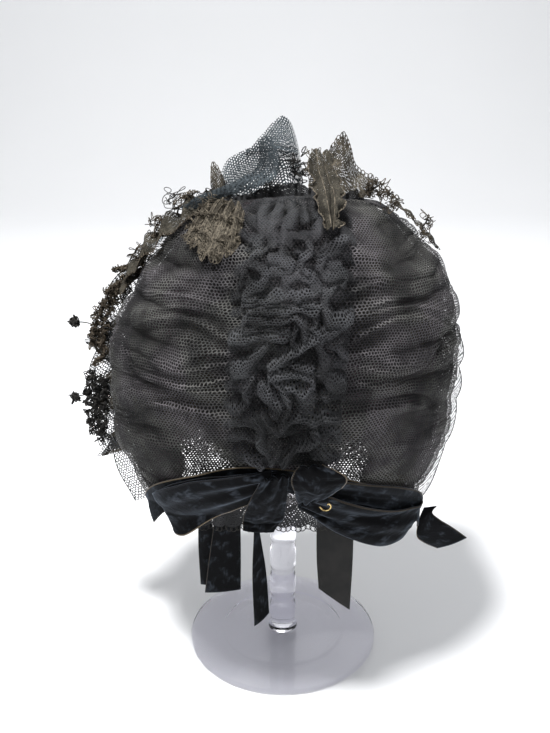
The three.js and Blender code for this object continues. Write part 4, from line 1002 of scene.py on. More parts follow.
def make_brim():
    u, v = spread(40, 160)
    length = BRIM_LENGTH * mix(BRIM_CHEEK_SHARE, 1, np.sin(math.pi * v))
    flare = BRIM_FLARE * np.abs(np.cos(math.pi * v)) * (1 - u)
    tucked = smooth(u, 0.9, 1)
    points = by_hoop(v, flare - 1.5 * tucked, BRIM_AHEAD + length * (1 - u) - (BRIM_AHEAD + 3) * tucked)
    points[..., 2] -= 0.3 * length * (1 - u) * np.sin(math.pi * v)
    points[..., 1] += 0.5 * np.cos(2 * math.pi * u * 7)
    cloth_piece("brim_cloth", points, "under_net_solid", ["brim"], wall=BRIM_WALL)


CURTAIN_LEFT, CURTAIN_RIGHT = -0.46, 0.4
CURTAIN_SEWN = 0.025
CURTAIN_OFF = -(1.5 * NET_WALL + CLEARANCE)


def make_curtain():
    u, v = spread(420, 24)
    scallop = 1 + 0.12 * np.abs(np.sin(math.pi * CURTAIN_WAVES * 2 * u))
    below = mix(-CURTAIN_LENGTH * scallop / CROWN_HEIGHT, 0, 1.5 * v)
    seam = np.where(v < 2 / 3, below, CURTAIN_SEWN * (3 * v - 2))
    wave = 0.5 - 0.5 * np.cos(2 * math.pi * CURTAIN_WAVES * u)
    turn = mix(CURTAIN_LEFT, CURTAIN_RIGHT, u)
    points = place(turn, seam, CURTAIN_OFF - CURTAIN_RIPPLE * wave * np.maximum(0, 1 - 1.5 * v))
    cloth_piece("curtain_net", points, "curtain_net", ["neck_curtain"])
    edge = points[0] + np.array([0, 0, -0.2])
    loops = looped(edge, np.array([0, 0, -1.0]), 3.6, 1.5)
    tube_piece("curtain_loops", [loops], 0.3, "dark_cord")


# Velvet
VELVET_WALL = 0.8 * RIBBON_WALL
HANGING_WALL = 0.7 * RIBBON_WALL
BAND_OFF = NET_WALL / 2 + 2 * CLEARANCE + RIBBON_WALL / 2
BACK_LOOP_OFF = BAND_OFF + RIBBON_WALL + CLEARANCE
NECK_BAND = [
    edges(-0.6, -0.09, -0.66, 0.015), edges(-0.46, -0.02, -0.46, 0.075), edges(-0.28, 0.03, -0.28, 0.125),
    edges(-0.1, 0.08, -0.1, 0.175), edges(0.12, 0.05, 0.12, 0.145), edges(0.32, -0.01, 0.32, 0.08),
    edges(0.6, -0.07, 0.6, 0.02), edges(0.82, -0.13, 0.9, 0.01),
]
LEFT_LOOP = [
    edges(-0.02, 0.1, -0.02, 0.17, rise=0), edges(-0.18, 0.04, -0.2, 0.14, rise=0),
    edges(-0.34, -0.07, -0.38, 0.09, rise=0.06), edges(-0.42, -0.09, -0.48, 0.05, rise=0.36),
    edges(-0.35, -0.09, -0.42, 0.09, rise=0.72), edges(-0.2, 0.01, -0.24, 0.15, rise=0.7),
    edges(-0.03, 0.11, -0.03, 0.185, rise=0.42),
]
RIGHT_LOOP = [
    edges(0.05, 0.06, 0.07, 0.155, rise=0), edges(0.25, -0.01, 0.3, 0.1, rise=0.05),
    edges(0.46, -0.08, 0.56, 0.045, rise=0.2), edges(0.5, -0.12, 0.61, 0.01, rise=0.5),
    edges(0.36, -0.135, 0.4, 0.02, rise=0.85), edges(0.18, -0.07, 0.21, 0.075, rise=0.8),
    edges(0.05, 0.04, 0.06, 0.12, rise=0.45),
]
KNOT = [
    edges(0.04, 0.22, 0.1, 0.22, rise=0), edges(0.02, 0.19, 0.165, 0.185, rise=0.35),
    edges(0.03, 0.145, 0.14, 0.135, rise=0.35), edges(0.04, 0.09, 0.09, 0.09, rise=0),
]
KNOT_TAIL = [
    edges(0.015, 0.185, -0.05, 0.175, rise=0.42), edges(0.01, 0.1, -0.1, 0.09, rise=0.7),
    edges(0, 0.02, -0.13, 0.01, rise=1), edges(-0.03, -0.05, -0.13, -0.045, rise=1.1),
]
KNOT_OFF = BACK_LOOP_OFF + 0.45 * BOW_RISE + RIBBON_WALL + CLEARANCE + 1


def velvet_strip(name, node, table, base, bulge, crush, seed, finish="velvet", gathers=(1, 1), rows=120):
    """A length of velvet that lies off the crown by base and its table's rise, rounded across its width,
    crushed, and gathered at its ends."""
    u, v = spread(30, rows)
    turn, seam = strip(table, u, v)
    rise = column(stations(table), "rise", v) if "rise" in table[0] else 0
    dents = noise(u * 3, v * 9, seed) + 0.5 * noise(u * 7, v * 22, seed + 1)
    near_end = gathers[0] * np.exp(-v / 0.22) + gathers[1] * np.exp(-(1 - v) / 0.22)
    pleats = bulge * 0.9 * near_end * np.sin(2 * math.pi * (2.4 * u + 0.3 * noise(u * 2, v * 3, seed + 2)))
    ridges = bulge * 0.5 * (1 - np.abs(noise(u * 3.5 + v * 2, v * 2.5, seed + 3))) ** 3
    off = base + rise * BOW_RISE + bulge * (np.sin(math.pi * u) - 0.4) + crush * dents + pleats + ridges
    cloth_piece(name, place(turn, seam, off), finish, [node],
                wall=VELVET_WALL)


BOW = dict(
    band_velvet=dict(node="neck_band", table=NECK_BAND, base=BAND_OFF, bulge=0.5, crush=0.15, seed=51,
                     gathers=(0, 0), rows=240),
    loop_left_velvet=dict(node="bow_loop_left", table=LEFT_LOOP, base=BACK_LOOP_OFF, bulge=2.0, crush=0.7,
                          seed=53, finish="velvet_low"),
    loop_right_velvet=dict(node="bow_loop_right", table=RIGHT_LOOP, base=BACK_LOOP_OFF, bulge=2.2, crush=0.8,
                           seed=55, finish="velvet_dark"),
    knot_velvet=dict(node="bow_knot", table=KNOT, base=KNOT_OFF, bulge=2.2, crush=0.5, seed=57,
                     gathers=(0.6, 0.6), rows=60),
    knot_tail_velvet=dict(node="knot_tail", table=KNOT_TAIL, base=BACK_LOOP_OFF + 2, bulge=2.0, crush=0.6,
                          seed=59, finish="velvet_dark", gathers=(1, 0), rows=60),
)


def make_bow():
    for name, velvet in BOW.items():
        velvet_strip(name, **velvet)


# The hanging ends: where each starts, its width as shares of the ribbon's at these shares of its length, how
# far it drifts to the right, how long it is, how much higher its right corner is, how far it swings inward
END_LENGTHS = [0, 0.2, 0.6, 1]
RIBBON_ENDS = dict(
    ribbon_end_left=dict(turn=-0.2, widths=[0.6, 0.68, 0.85, 1], drift=-6, drop=75, slant=6, inward=5,
                         finish="velvet_dark"),
    ribbon_end_under=dict(turn=-0.31, widths=[0.3, 0.35, 0.5, 0.5], drift=2, drop=72, slant=4, inward=9,
                          finish="velvet_dark"),
    ribbon_end_thin=dict(turn=-0.1, widths=[0.14, 0.12, 0.36, 0.4], drift=4, drop=98, slant=12, inward=5,
                         finish="velvet_dark"),
    ribbon_end_right=dict(turn=0.2, widths=[0.8, 1, 1, 0.9], drift=1, drop=82, slant=-22, inward=5,
                          finish="ribbon_back"),
)


def hanging(table, u, v):
    """Points of a ribbon that hangs free, from stations with a place, a heading, a width and a slant."""
    rows = stations(table)
    reach = (2 * u - 1) / 2
    width, heading = column(rows, "width", v), column(rows, "heading", v)
    return np.stack([
        column(rows, "x", v) + reach * width * np.cos(heading),
        column(rows, "y", v) + reach * width * np.sin(heading),
        column(rows, "z", v) + reach * column(rows, "slant", v),
    ], axis=-1)


def make_ribbon_ends():
    bend = CROWN_SECTIONS[0]["back"] * CROWN_DEPTH
    for seed, (name, end) in enumerate(RIBBON_ENDS.items()):
        sag = (end["widths"][0] * RIBBON_WIDTH) ** 2 / (8 * bend)
        off = CURTAIN_OFF - NET_WALL / 2 - CLEARANCE - RIBBON_WALL / 2 - sag
        top, beside = place(end["turn"], 0, off), place(end["turn"] + 0.05, 0, off)
        heading = math.atan2(beside[1] - top[1], beside[0] - top[0])
        table = [dict(
            x=top[0] + end["drift"] * share, y=top[1] + end["inward"] * min(1, 2.5 * share),
            z=top[2] - end["drop"] * share, heading=heading, width=width * RIBBON_WIDTH,
            slant=end["slant"] * share * share,
        ) for share, width in zip(END_LENGTHS, end["widths"])][::-1]
        u, v = spread(16, 70)
        points = hanging(table, u, v)
        away = np.array([math.sin(heading), -math.cos(heading), 0])
        curl = 1.4 * np.sin(math.pi * u) * (1 - v) + 0.8 * noise(u * 2, v * 3 + seed, 61) * (1 - v)
        cloth_piece(name + "_velvet", points + away * curl[..., None], end["finish"], [name],
                    wall=HANGING_WALL)


TAB_LENGTH = 34
TAB_HEADING = -0.2
# From its root at the neck band to its end: share of its length, rise, and its width and slant as shares of
# the ribbon's width
TAB_STATIONS = [
    (0, 15, 0.36, 0.1), (0, 7, 0.36, 0.3), (0.2, 1, 0.6, 0.6), (0.55, 0, 0.75, 0.6), (1, 0, 0.8, 0.45)]


def make_side_tab():
    root = place(0.8, -0.12, BAND_OFF + 2 * RIBBON_WALL)
    table = [dict(
        x=root[0] + 0.75 * TAB_LENGTH * share + 0.4 * rise, y=root[1] + 0.25 * TAB_LENGTH * share,
        z=root[2] - 0.6 * TAB_LENGTH * share + rise, heading=TAB_HEADING, width=RIBBON_WIDTH * wide,
        slant=slant * RIBBON_WIDTH,
    ) for share, rise, wide, slant in TAB_STATIONS]
    u, v = spread(16, 40)
    points = hanging(table, u, v)
    points[..., 1] -= 1.5 * np.sin(math.pi * u) * v + 0.6 * noise(u * 2, v * 3, 65)
    cloth_piece("side_tab_velvet", points, "velvet", ["side_tab"], wall=HANGING_WALL)


LOOP_ROUNDNESS = 0.9


def looped(path, outward, pitch, size):
    """A thread that runs along a path in small round loops that stand out from it."""
    step = np.linalg.norm(np.diff(path, axis=0), axis=1)
    arc = np.concatenate([[0], np.cumsum(step)])
    count = max(int(arc[-1] / pitch), 1)
    at = np.linspace(0, 1, count * 14 + 1)
    phase = 2 * math.pi * count * at
    shifted = np.clip(at * arc[-1] - LOOP_ROUNDNESS * size * np.sin(phase), 0, arc[-1])
    base = np.stack([np.interp(shifted, arc, path[:, k]) for k in range(3)], axis=-1)
    out = np.broadcast_to(outward, path.shape)
    way = np.stack([np.interp(shifted, arc, out[:, k]) for k in range(3)], axis=-1)
    return base + way * (size * (1 - np.cos(phase)))[:, None]


# Lace and net trimming
LYING_OFF = NET_WALL / 2 + CLEARANCE + LACE_WALL / 2 + 0.2
# The trimming that lies on the crown: how many folds and lobes it has, their rise as a share, and its edges
LYING_TRIM = dict(
    lace_fan=dict(folds=4, rise=0.5, finish="tan_lace", lobes=5, rows=[
        edges(-0.49, 0.78, -0.48, 0.85), edges(-0.4, 0.74, -0.41, 0.88),
        edges(-0.27, 0.71, -0.31, 0.875), edges(-0.2, 0.755, -0.24, 0.86)]),
    lace_strip_left=dict(folds=6, rise=0.8, finish="brown_lace", lobes=7, rows=[
        edges(-0.87, 0.55, -0.95, 0.58), edges(-0.8, 0.63, -0.91, 0.66), edges(-0.68, 0.73, -0.8, 0.79),
        edges(-0.56, 0.81, -0.68, 0.88), edges(-0.48, 0.885, -0.54, 0.94)]),
    lace_edge_right=dict(folds=4, rise=0.3, finish="brown_lace", lobes=4, rows=[
        edges(0.71, 0.88, 0.77, 0.905), edges(0.75, 0.835, 0.82, 0.86), edges(0.78, 0.78, 0.86, 0.8),
        edges(0.8, 0.72, 0.88, 0.74)]),
    net_puff=dict(folds=2, rise=0.8, finish="grey_net", lobes=2, rows=[
        edges(-0.93, 0.675, -0.96, 0.68), edges(-0.89, 0.725, -0.95, 0.74), edges(-0.85, 0.77, -0.93, 0.79),
        edges(-0.8, 0.82, -0.87, 0.84)]),
)


TRIM_STEPS = 150
FAN_VEINS = range(4, TRIM_STEPS, 7)  # the steps where the fan has a vein
FAN_CURLS = (12, 24, 34)  # where a vein has curls
FAN_SEED = 600


def fan_threads(points):
    """The lace fan's veins, each with a few curls of thread."""
    threads = []
    for j in FAN_VEINS:
        threads.append(points[j, :: 3] + np.array([0, -0.3, 0.1]))
        for k in FAN_CURLS:
            threads += curls(FAN_SEED + j + k, points[j, k], (3.5, 1.2, 3), 3, 1.5, 14)
    return threads


def make_lying_trim():
    for seed, (name, trim) in enumerate(LYING_TRIM.items()):
        finish = trim["finish"]
        u, v = spread(36, TRIM_STEPS)
        scallop = np.abs(np.sin(math.pi * (trim["lobes"] * v + 0.25 * noise(v * 5, seed, 71)))) ** 0.55
        ragged = 0.24 * (1 - scallop) + 0.13 * (0.5 + 0.5 * noise(v * 26, seed + 0.5, 72))
        reach = u * (1 - ragged * smooth(u, 0.25, 1))
        turn, seam = strip(trim["rows"], reach, v)
        fold = 0.5 - 0.5 * np.cos(2 * math.pi * trim["folds"] * v + 0.8 * noise(u * 2, v * 4, 70 + seed))
        off = LYING_OFF + trim["rise"] * TRIM_RISE * fold * mix(0.35, 1, 1 - u)
        points = place(turn, seam, off + 0.7 * noise(u * 4, v * 18, 75 + seed))
        cloth_piece(name + "_cloth", points, finish, [name])
        if finish != "grey_net":
            outward = unit(points[:, -1] - points[:, -6])
            cord = "tan_cord" if finish == "tan_lace" else "brown_cord"
            threads = [looped(points[:, -1], outward, 2.2, 0.9)]
            if name == "lace_fan":
                threads += fan_threads(points)
            tube_piece(name + "_loops", threads, 0.24, cord)


# The trimming that stands up from the crown: at each turn, the seam share of its foot and its rise as a share
# of its height
STANDING_TRIM = dict(
    net_loop=dict(height=NET_LOOP_HEIGHT, folds=1.5, finish="grey_net", rows=[
        dict(turn=-0.78, foot=0.95, rise=0.3), dict(turn=-0.66, foot=0.955, rise=0.48),
        dict(turn=-0.55, foot=0.965, rise=0.57),
        dict(turn=-0.44, foot=0.975, rise=0.64), dict(turn=-0.3, foot=0.975, rise=0.8),
        dict(turn=-0.17, foot=0.975, rise=0.96), dict(turn=-0.09, foot=0.975, rise=1),
        dict(turn=-0.02, foot=0.975, rise=0.8), dict(turn=0.05, foot=0.975, rise=0.3)]),
    lace_point=dict(height=LACE_HEIGHT, folds=3, finish="tan_lace", rows=[
        dict(turn=0.12, foot=0.97, rise=0.3), dict(turn=0.27, foot=0.97, rise=0.6),
        dict(turn=0.42, foot=0.965, rise=1), dict(turn=0.55, foot=0.955, rise=0.5),
        dict(turn=0.72, foot=0.94, rise=0.35)]),
    lace_upright=dict(height=0.55 * LACE_HEIGHT, folds=1, finish="tan_lace", rows=[
        dict(turn=-0.86, foot=0.935, rise=0.45), dict(turn=-0.78, foot=0.94, rise=1.05),
        dict(turn=-0.7, foot=0.945, rise=0.8), dict(turn=-0.6, foot=0.945, rise=0.4)]),
)
STANDING_OFF = NET_WALL / 2 + 2 * CLEARANCE


def make_net_loop_layers(points, u):
    """The net loop's second layer, and the fold of net across it."""
    behind = points + np.array([1.5, 2.2, -1.0]) * u[..., None]
    cloth_piece("net_loop_behind", behind, "grey_net")
    u, v = spread(14, 60)
    off = mix(26, 31, u) + 2.5 * np.sin(math.pi * v) + noise(u, v * 9, 89)
    band = place(mix(-0.5, 0.02, v), 0.975, off)
    band[..., 1] += -1.2 + 1.2 * np.sin(math.pi * 3 * u) + 0.8 * noise(u * 3, v * 8, 88)
    cloth_piece("net_loop_band", band, "grey_net")


def make_standing_trim():
    for seed, (name, trim) in enumerate(STANDING_TRIM.items()):
        rows, finish = trim["rows"], trim["finish"]
        u, v = spread(40, 130)
        turn = mix(rows[0]["turn"], rows[-1]["turn"], v)
        rise = column(rows, "rise", turn) * trim["height"]
        if finish == "tan_lace":
            rise = rise * (1 - 0.12 * (0.5 + 0.5 * noise(v * 24, seed + 0.5, 84)))
        points = place(turn, column(rows, "foot", turn), mix(STANDING_OFF, rise, u))
        points[..., 1] += STANDING_RIPPLE * u * np.sin(2 * math.pi * trim["folds"] * v)
        points[..., 1] += 1.5 * u * noise(u * 3, v * 7, 80 + seed)
        cloth_piece(name + "_cloth", points, finish, [name])
        if name == "net_loop":
            make_net_loop_layers(points, u)
        if finish == "tan_lace":
            outward = unit(points[:, -1] - points[:, -6])
            loops = looped(points[:, -1], outward, 3.0, 1.1)
            tube_piece(name + "_loops", [loops], 0.28, "brown_cord")


OVER_RUCHE = RUCHE_OFF + RUCHE_RISE + RUCHE_WALL / 2 + CLEARANCE + LACE_WALL / 2
# The trimming that falls over the ruching, off it by shares of OVER_RUCHE
JABOT = [
    edges(0.09, 0.95, 0.26, 0.95, off=2.3), edges(0.09, 0.925, 0.25, 0.925, off=1.25),
    edges(0.08, 0.88, 0.22, 0.88, off=1), edges(0.09, 0.83, 0.17, 0.83, off=1),
    edges(0.1, 0.78, 0.13, 0.78, off=1),
]
NET_STRIP = [
    edges(-0.34, 0.97, -0.2, 0.97, off=2.9), edges(-0.32, 0.965, -0.14, 0.965, off=2.0),
    edges(-0.36, 0.95, -0.13, 0.95, off=1.3), edges(-0.44, 0.915, -0.17, 0.92, off=0.95),
    edges(-0.56, 0.86, -0.32, 0.885, off=0.8), edges(-0.62, 0.84, -0.46, 0.87, off=0.6),
]


FALLING_TRIM = dict(
    lace_jabot=dict(table=JABOT, finish="brown_lace", slot="tan_lace", folds=2),
    net_strip=dict(table=NET_STRIP, finish="folded_net_painted_shade", slot="grey_net", folds=3),
)
JABOT_RIDGES = (14, 27)  # the columns where its cloth has a cord


def make_falling_trim():
    for seed, (name, trim) in enumerate(FALLING_TRIM.items()):
        u, v = spread(40, 90)
        turn, seam = strip(trim["table"], u, v)
        fold = np.abs(np.sin(math.pi * (trim["folds"] * u + 0.3 * noise(v * 4, seed, 95)) + 0.6))
        fold = 4.5 * fold ** 0.7 + 0.9 * noise(u * 5, v * 6, 90 + seed)
        if name == "lace_jabot":
            turn = turn + 0.022 * noise(v * 17, np.round(u) * 4.5, 94) * np.abs(2 * u - 1) ** 3
        off = column(stations(trim["table"]), "off", v) * OVER_RUCHE + fold - 3
        points = place(turn, seam, off)
        cloth_piece(name + "_cloth", points, trim["finish"], [name])
        if name == "lace_jabot":
            threads = [looped(points[:, edge], np.array([0.3 * way, -1.0, 0]), 2.4, 0.9)
                       for edge, way in ((0, 1), (-1, -1))]
            threads += [points[:, ridge] for ridge in JABOT_RIDGES]
            tube_piece("lace_jabot_loops", threads, 0.26, "tan_cord")


CHEEK_START, CHEEK_END = 0.05, 0.2
CHEEK_FOLDS = 5
CHEEK_WIDTH = 30
CHEEK_OUT, CHEEK_AHEAD = 4.5, -6
CHENILLE_STEP = 1.5
CHENILLE_SEED, SEEDS_A_LINE = 130, 40
HOOP_SPAN = 240  # taken for the hoop's length where the chenille's steps are counted
# Chenille beside the hoop: its cord, its thickness and its line, as hoop shares and distances out
CHENILLE = [
    ("brown_cord", 3.2, [(0.268, 1), (0.253, 8), (0.239, 15), (0.222, 21)]),
    ("brown_cord", 3.4, [(0.236, 13), (0.219, 17), (0.206, 23), (0.186, 24), (0.167, 26)]),
    ("brown_cord", 2.4, [(0.264, 10), (0.253, 15), (0.247, 22)]),
    ("brown_cord", 2.6, [(0.177, 19), (0.161, 16), (0.147, 22)]),
    ("dark_cord", 3.2, [(0.136, 27), (0.117, 28), (0.095, 26), (0.076, 29)]),
    ("dark_cord", 3.4, [(0.127, 17), (0.105, 17), (0.083, 20), (0.067, 24)]),
    ("brown_cord", 3.0, [(0.215, 15), (0.2, 18), (0.185, 17), (0.168, 20)]),
    ("dark_cord", 3.4, [(0.13, 22), (0.11, 23), (0.09, 23), (0.075, 25)]),
    ("dark_cord", 3.0, [(0.115, 30), (0.1, 31), (0.085, 31)]),
    ("brown_cord", 2.2, [(0.374, 6), (0.345, 2), (0.319, 2), (0.298, 2), (0.278, 1)]),
]


def curls(seed, centre, radii, count, size, knots=18):
    """Closed curly threads that fill a rounded space about a centre."""
    rng = np.random.default_rng(seed)
    t = np.linspace(0, 2 * math.pi, knots)
    paths = []
    for _ in range(count):
        spot = rng.normal(size=3)
        spot = spot / np.linalg.norm(spot) * rng.uniform(0.2, 1) ** 0.5
        axes = rng.normal(size=(4, 3))
        shape = 0
        for k, share in enumerate((0.6, 0.6, 0.3, 0.3)):
            wave = np.sin((k // 2 + 1) * t + rng.uniform(0, 6.3))[:, None]
            shape = shape + size * axes[k] * wave * share
        paths.append(np.asarray(centre) + spot * np.asarray(radii) + shape)
    return paths


def make_cheek_trim():
    u, v = spread(40, 200)
    at = mix(CHEEK_START, CHEEK_END, v)
    width = CHEEK_WIDTH * (0.75 + 0.25 * np.cos(5 * math.pi * v))
    width = width * (1 - 0.14 * np.abs(np.sin(9 * math.pi * v)))
    fold = 2.2 * smooth(u, 0, 0.5) * np.sin(2 * math.pi * CHEEK_FOLDS * v)
    fold = fold + 1.2 * noise(u * 4, v * 12, 101) * u
    points = by_hoop(at, mix(CHEEK_OUT, width, u), CHEEK_AHEAD + fold)
    ragged = 3.5 * u * (0.5 + 0.5 * noise(v * 50, 0.5, 102))
    points = points - (by_hoop(at, 1, 0) - by_hoop(at, 0, 0)) * ragged[..., None]
    cloth_piece("cheek_ruffle", points, "brown_lace", ["lace_cheek"])
    beyond = by_hoop(at, mix(CHEEK_OUT, 1.1 * width, u), CHEEK_AHEAD + 1.5 - fold)
    cloth_piece("cheek_net", beyond, "frill_net")


def make_chenille():
    for i, (cord, thick, line) in enumerate(CHENILLE):
        length = sum(math.hypot(HOOP_SPAN * (b[0] - a[0]), b[1] - a[1]) for a, b in zip(line[:-1], line[1:]))
        knots = np.linspace(0, 1, max(2, int(length / CHENILLE_STEP)))
        at, out = (np.interp(knots, np.linspace(0, 1, len(line)), side) for side in zip(*line))
        paths = []
        for k, spot in enumerate(by_hoop(at, out, CHEEK_AHEAD - 2)):
            paths += curls(CHENILLE_SEED + SEEDS_A_LINE * i + k, spot, [0.85 * thick] * 3, 9, 0.5 * thick, 14)
        tube_piece(f"chenille_{i + 1}", paths, 0.42, cord, sides=4)


BUDS = dict(bud_upper=(0.185, 121), bud_lower=(0.11, 122))  # hoop share and seed
BUD_RADIUS = 2.2


def make_buds():
    for name, (at, seed) in BUDS.items():
        tip = by_hoop(at, 1.3 * CHEEK_WIDTH, CHEEK_AHEAD)
        foot = by_hoop(at, 0.75 * CHEEK_WIDTH, CHEEK_AHEAD)
        bead = curls(seed, tip, [BUD_RADIUS] * 3, 50, 1.5)
        share = np.linspace(0, 1, 10)[:, None]
        stem = mix(foot, tip, share) + np.array([0, 0, 1.2]) * np.sin(math.pi * share)
        tube_piece(name + "_threads", bead + [stem], 0.5, "dark_cord", [name], sides=4)


# Loose threads among the trimming: where each tuft is, the spread of its curls, how many and how large
LOOSE_THREADS = [
    dict(cord="dark_cord", radius=0.34, turn=0.04, seam=0.975, off=18, around=(8, 3, 12), count=22, size=3.4),
    dict(cord="dark_cord", radius=0.28, turn=-0.3, seam=0.96, off=8, around=(14, 3, 6), count=10, size=4.0),
    dict(cord="brown_cord", radius=0.26, turn=0.5, seam=0.87, off=8, around=(8, 4, 7), count=26, size=2.4),
    dict(cord="brown_cord", radius=0.28, turn=0.6, seam=0.92, off=9, around=(10, 4, 6), count=36, size=2.4),
    dict(cord="brown_cord", radius=0.24, turn=0.76, seam=0.79, off=5, around=(5, 4, 11), count=26, size=2.2),
    dict(cord="brown_cord", radius=0.3, turn=-0.8, seam=0.78, off=6, around=(8, 4, 8), count=44, size=2.6),
    dict(cord="brown_cord", radius=0.3, turn=-0.66, seam=0.87, off=6, around=(10, 4, 8), count=44, size=2.4),
    dict(cord="dark_cord", radius=0.28, turn=-0.5, seam=0.9, off=5, around=(13, 4, 5), count=14, size=3.2),
    dict(cord="brown_cord", radius=0.3, turn=-0.9, seam=0.68, off=6, around=(7, 4, 8), count=34, size=2.4),
    dict(cord="dark_cord", radius=0.26, turn=-0.72, seam=0.86, off=9, around=(13, 4, 9), count=16, size=3.0),
    dict(cord="tan_cord", radius=0.24, turn=0.17, seam=0.96, off=20, around=(6, 3, 12), count=26, size=2.2),
    dict(cord="tan_cord", radius=0.22, turn=-0.4, seam=0.87, off=6, around=(11, 3, 6), count=20, size=2.2),
]


TUFT_SEED = 300


def make_loose_threads():
    for i, tuft in enumerate(LOOSE_THREADS):
        centre = place(tuft["turn"], tuft["seam"], tuft["off"])
        paths = curls(TUFT_SEED + i, centre, tuft["around"], tuft["count"], tuft["size"], 20)
        tube_piece(f"loose_threads_{i + 1}", paths, tuft["radius"], tuft["cord"], sides=4)


HEADING_PLEATS = 26


def make_heading():
    """The gathered net's loose heading along the crown's top."""
    u, v = spread(14, 260)
    turn = mix(-0.62, 0.86, v)
    tall = 4.5 + 3 * noise(v * 14, 0.5, 141) + 5 * np.exp(-((turn + 0.06) / 0.22) ** 2)
    points = place(turn, 0.955 + 0.015 * noise(v * 9, 0.5, 142), mix(-1, tall, u))
    points[..., 1] += (1.6 * np.sin(2 * math.pi * HEADING_PLEATS * v) + 1.2 * noise(v * 60, u * 2, 143)) * u
    cloth_piece("heading_net", points, "curtain_net")


HOOK_SIZE = 7
HOOK_WIRE = 0.45
HOOK_ROUTE = [(0, 0), (0.35, -0.35), (0.8, -0.3), (1, 0.05), (0.8, 0.3), (0.7, 0.2)]


def make_hook():
    start = place(0.1, 0.11, 1.7 * BOW_RISE)
    table = [dict(at=i, x=x * HOOK_SIZE, y=0, z=z * HOOK_SIZE) for i, (x, z) in enumerate(HOOK_ROUTE)]
    t = np.linspace(0, len(table) - 1, 60)
    path = start + np.stack([column(table, key, t) for key in "xyz"], axis=-1)
    tube_piece("hook_wire", [path], HOOK_WIRE, "brass", ["brass_hook"], sides=12)


# Stand
FOOT_RADIUS = 71
FOOT_THICKNESS = 4
STEP_RADIUS = 46
STEP_THICKNESS = 2.5
STEM_RADIUS = 10
STEM_WAIST = 8.5
BEAD_LENGTH = 24
STEM_BEADS = 6
STEM_RING_RADIUS = 11
STEM_RING_HEIGHT = 3
CAP_EDGE = 4
SOFT_CORNER = 0.6


def make_stand():
    step, soft = FOOT_THICKNESS + STEP_THICKNESS, SOFT_CORNER
    lathe_piece("stand_foot_clear", [
        (0, 0), (FOOT_RADIUS - soft, 0), (FOOT_RADIUS, soft), (FOOT_RADIUS, FOOT_THICKNESS - soft),
        (FOOT_RADIUS - soft, FOOT_THICKNESS), (STEP_RADIUS, FOOT_THICKNESS), (STEP_RADIUS, step - soft),
        (STEP_RADIUS - soft, step), (0, step)], "foot_acrylic", ["stand_foot"], 128)
    low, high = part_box("stand_stem")
    bottom, top = low[2] / MM, high[2] / MM
    beads = bottom + STEM_RING_HEIGHT
    profile = [(0, bottom), (STEM_RING_RADIUS - soft, bottom), (STEM_RING_RADIUS, bottom + soft),
               (STEM_RING_RADIUS, beads - soft), (STEM_RING_RADIUS - soft, beads)]
    for z in np.linspace(beads + 0.5, beads + STEM_BEADS * BEAD_LENGTH, STEM_BEADS * 16):
        share = ((z - beads) / BEAD_LENGTH) % 1
        swell = math.sin(math.pi * share) ** 0.5
        profile.append((mix(STEM_WAIST, STEM_RADIUS, swell), z))
    profile += [(STEM_WAIST, top - 1), (STEM_WAIST, top), (0, top)]
    lathe_piece("stand_stem_clear", profile, "acrylic", ["stand_stem"], 64)
    low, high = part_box("stand_cap")
    radius, rim = (high[0] - low[0]) / 2 / MM, low[2] / MM
    shoulder, top = rim + CAP_EDGE, high[2] / MM
    dome = [(0, rim), (radius - soft, rim), (radius, rim + soft), (radius, shoulder)]
    for angle in np.linspace(0.08, math.pi / 2 - 0.08, 14):
        dome.append((radius * math.cos(angle), mix(shoulder, top, math.sin(angle))))
    dome.append((0, top))
    lathe_piece("stand_cap_clear", dome, "acrylic", ["stand_cap"], 96)


# Stage, in metres: a pale floor that curves up behind
FLOOR_FRONT, FLOOR_BACK = -3.0, 1.6
FLOOR_HALF_WIDTH = 9.0
FLOOR_DROP = 0.001
SWEEP_RADIUS = 0.9
SWEEP_TOP = 4.0


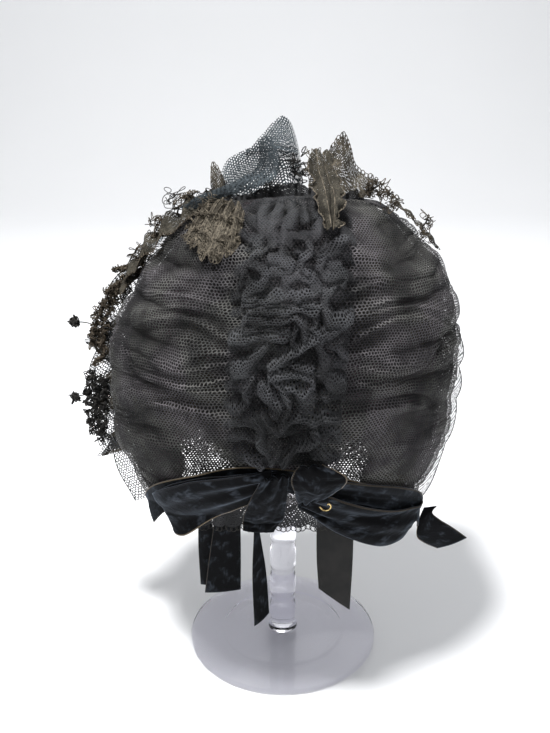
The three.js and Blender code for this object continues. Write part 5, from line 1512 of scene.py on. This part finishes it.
def make_stage():
    profile = [(FLOOR_FRONT, 0), (FLOOR_BACK, 0)]
    for angle in np.linspace(0, math.pi / 2, 24):
        rise = SWEEP_RADIUS - SWEEP_RADIUS * math.cos(angle)
        profile.append((FLOOR_BACK + SWEEP_RADIUS * math.sin(angle), rise))
    profile.append((FLOOR_BACK + SWEEP_RADIUS, SWEEP_TOP))
    points = [(x, y, z - FLOOR_DROP) for y, z in profile for x in (-FLOOR_HALF_WIDTH, FLOOR_HALF_WIDTH)]
    faces = [(2 * i, 2 * i + 1, 2 * i + 3, 2 * i + 2) for i in range(len(profile) - 1)]
    mesh = bpy.data.meshes.new("floor")
    mesh.from_pydata(points, [], faces)
    mesh.polygons.foreach_set("use_smooth", [True] * len(mesh.polygons))
    material, g, shader = new_material("pale_floor", 0.9, Specular_IOR_Level=0.1)
    clouds = g.noise(g.where(), 3.0, 2.0)
    g.set(shader["Base Color"], g.blend(clouds, (0.9, 0.905, 0.915, 1), (0.93, 0.935, 0.945, 1)))
    mesh.materials.append(material)
    floor = bpy.data.objects.new("floor", mesh)
    bpy.context.scene.collection.objects.link(floor)


# Light: each lamp's place, aim and size in metres, its power and its colour
MIDDLE = (0, 0, 0.25)
LAMPS = dict(
    key=dict(at=(-0.3, -0.35, 1.7), aim=MIDDLE, size=0.3, power=44),
    fill=dict(at=(1.2, -0.8, 0.9), aim=MIDDLE, size=0.9, power=4, colour=(0.95, 0.97, 1)),
    back=dict(at=(0.2, 1.4, 1.7), aim=MIDDLE, size=1.0, power=7),
    sweep=dict(at=(0, 0.9, 2.6), aim=(0, 2.6, 0.9), size=2.5, power=9),
)
SKY_COLOUR = (0.95, 0.97, 1.0, 1)
SKY_STRENGTH = 0.34


def make_lamp(name, at, aim, size, power, colour=(1, 1, 1)):
    data = bpy.data.lights.new(name, "AREA")
    data.shape = "DISK"
    data.size = size
    data.energy = power
    data.color = colour
    lamp = bpy.data.objects.new(name, data)
    lamp.location = at
    lamp.rotation_euler = (Vector(aim) - Vector(at)).to_track_quat("-Z", "Y").to_euler()
    bpy.context.scene.collection.objects.link(lamp)


def make_light():
    world = bpy.data.worlds.new("studio")
    bpy.context.scene.world = world
    world.use_nodes = True
    sky = world.node_tree.nodes["Background"]
    sky.inputs["Color"].default_value = SKY_COLOUR
    sky.inputs["Strength"].default_value = SKY_STRENGTH
    for name, lamp in LAMPS.items():
        make_lamp(name, **lamp)
    bpy.context.scene.view_settings.view_transform = "Standard"


make_stand()
make_under_crown()
make_crown()
make_ruching()
make_frill()
make_brim()
make_curtain()
make_bow()
make_ribbon_ends()
make_side_tab()
make_lying_trim()
make_standing_trim()
make_falling_trim()
make_cheek_trim()
make_chenille()
make_buds()
make_heading()
make_loose_threads()
make_hook()
make_stage()
make_light()
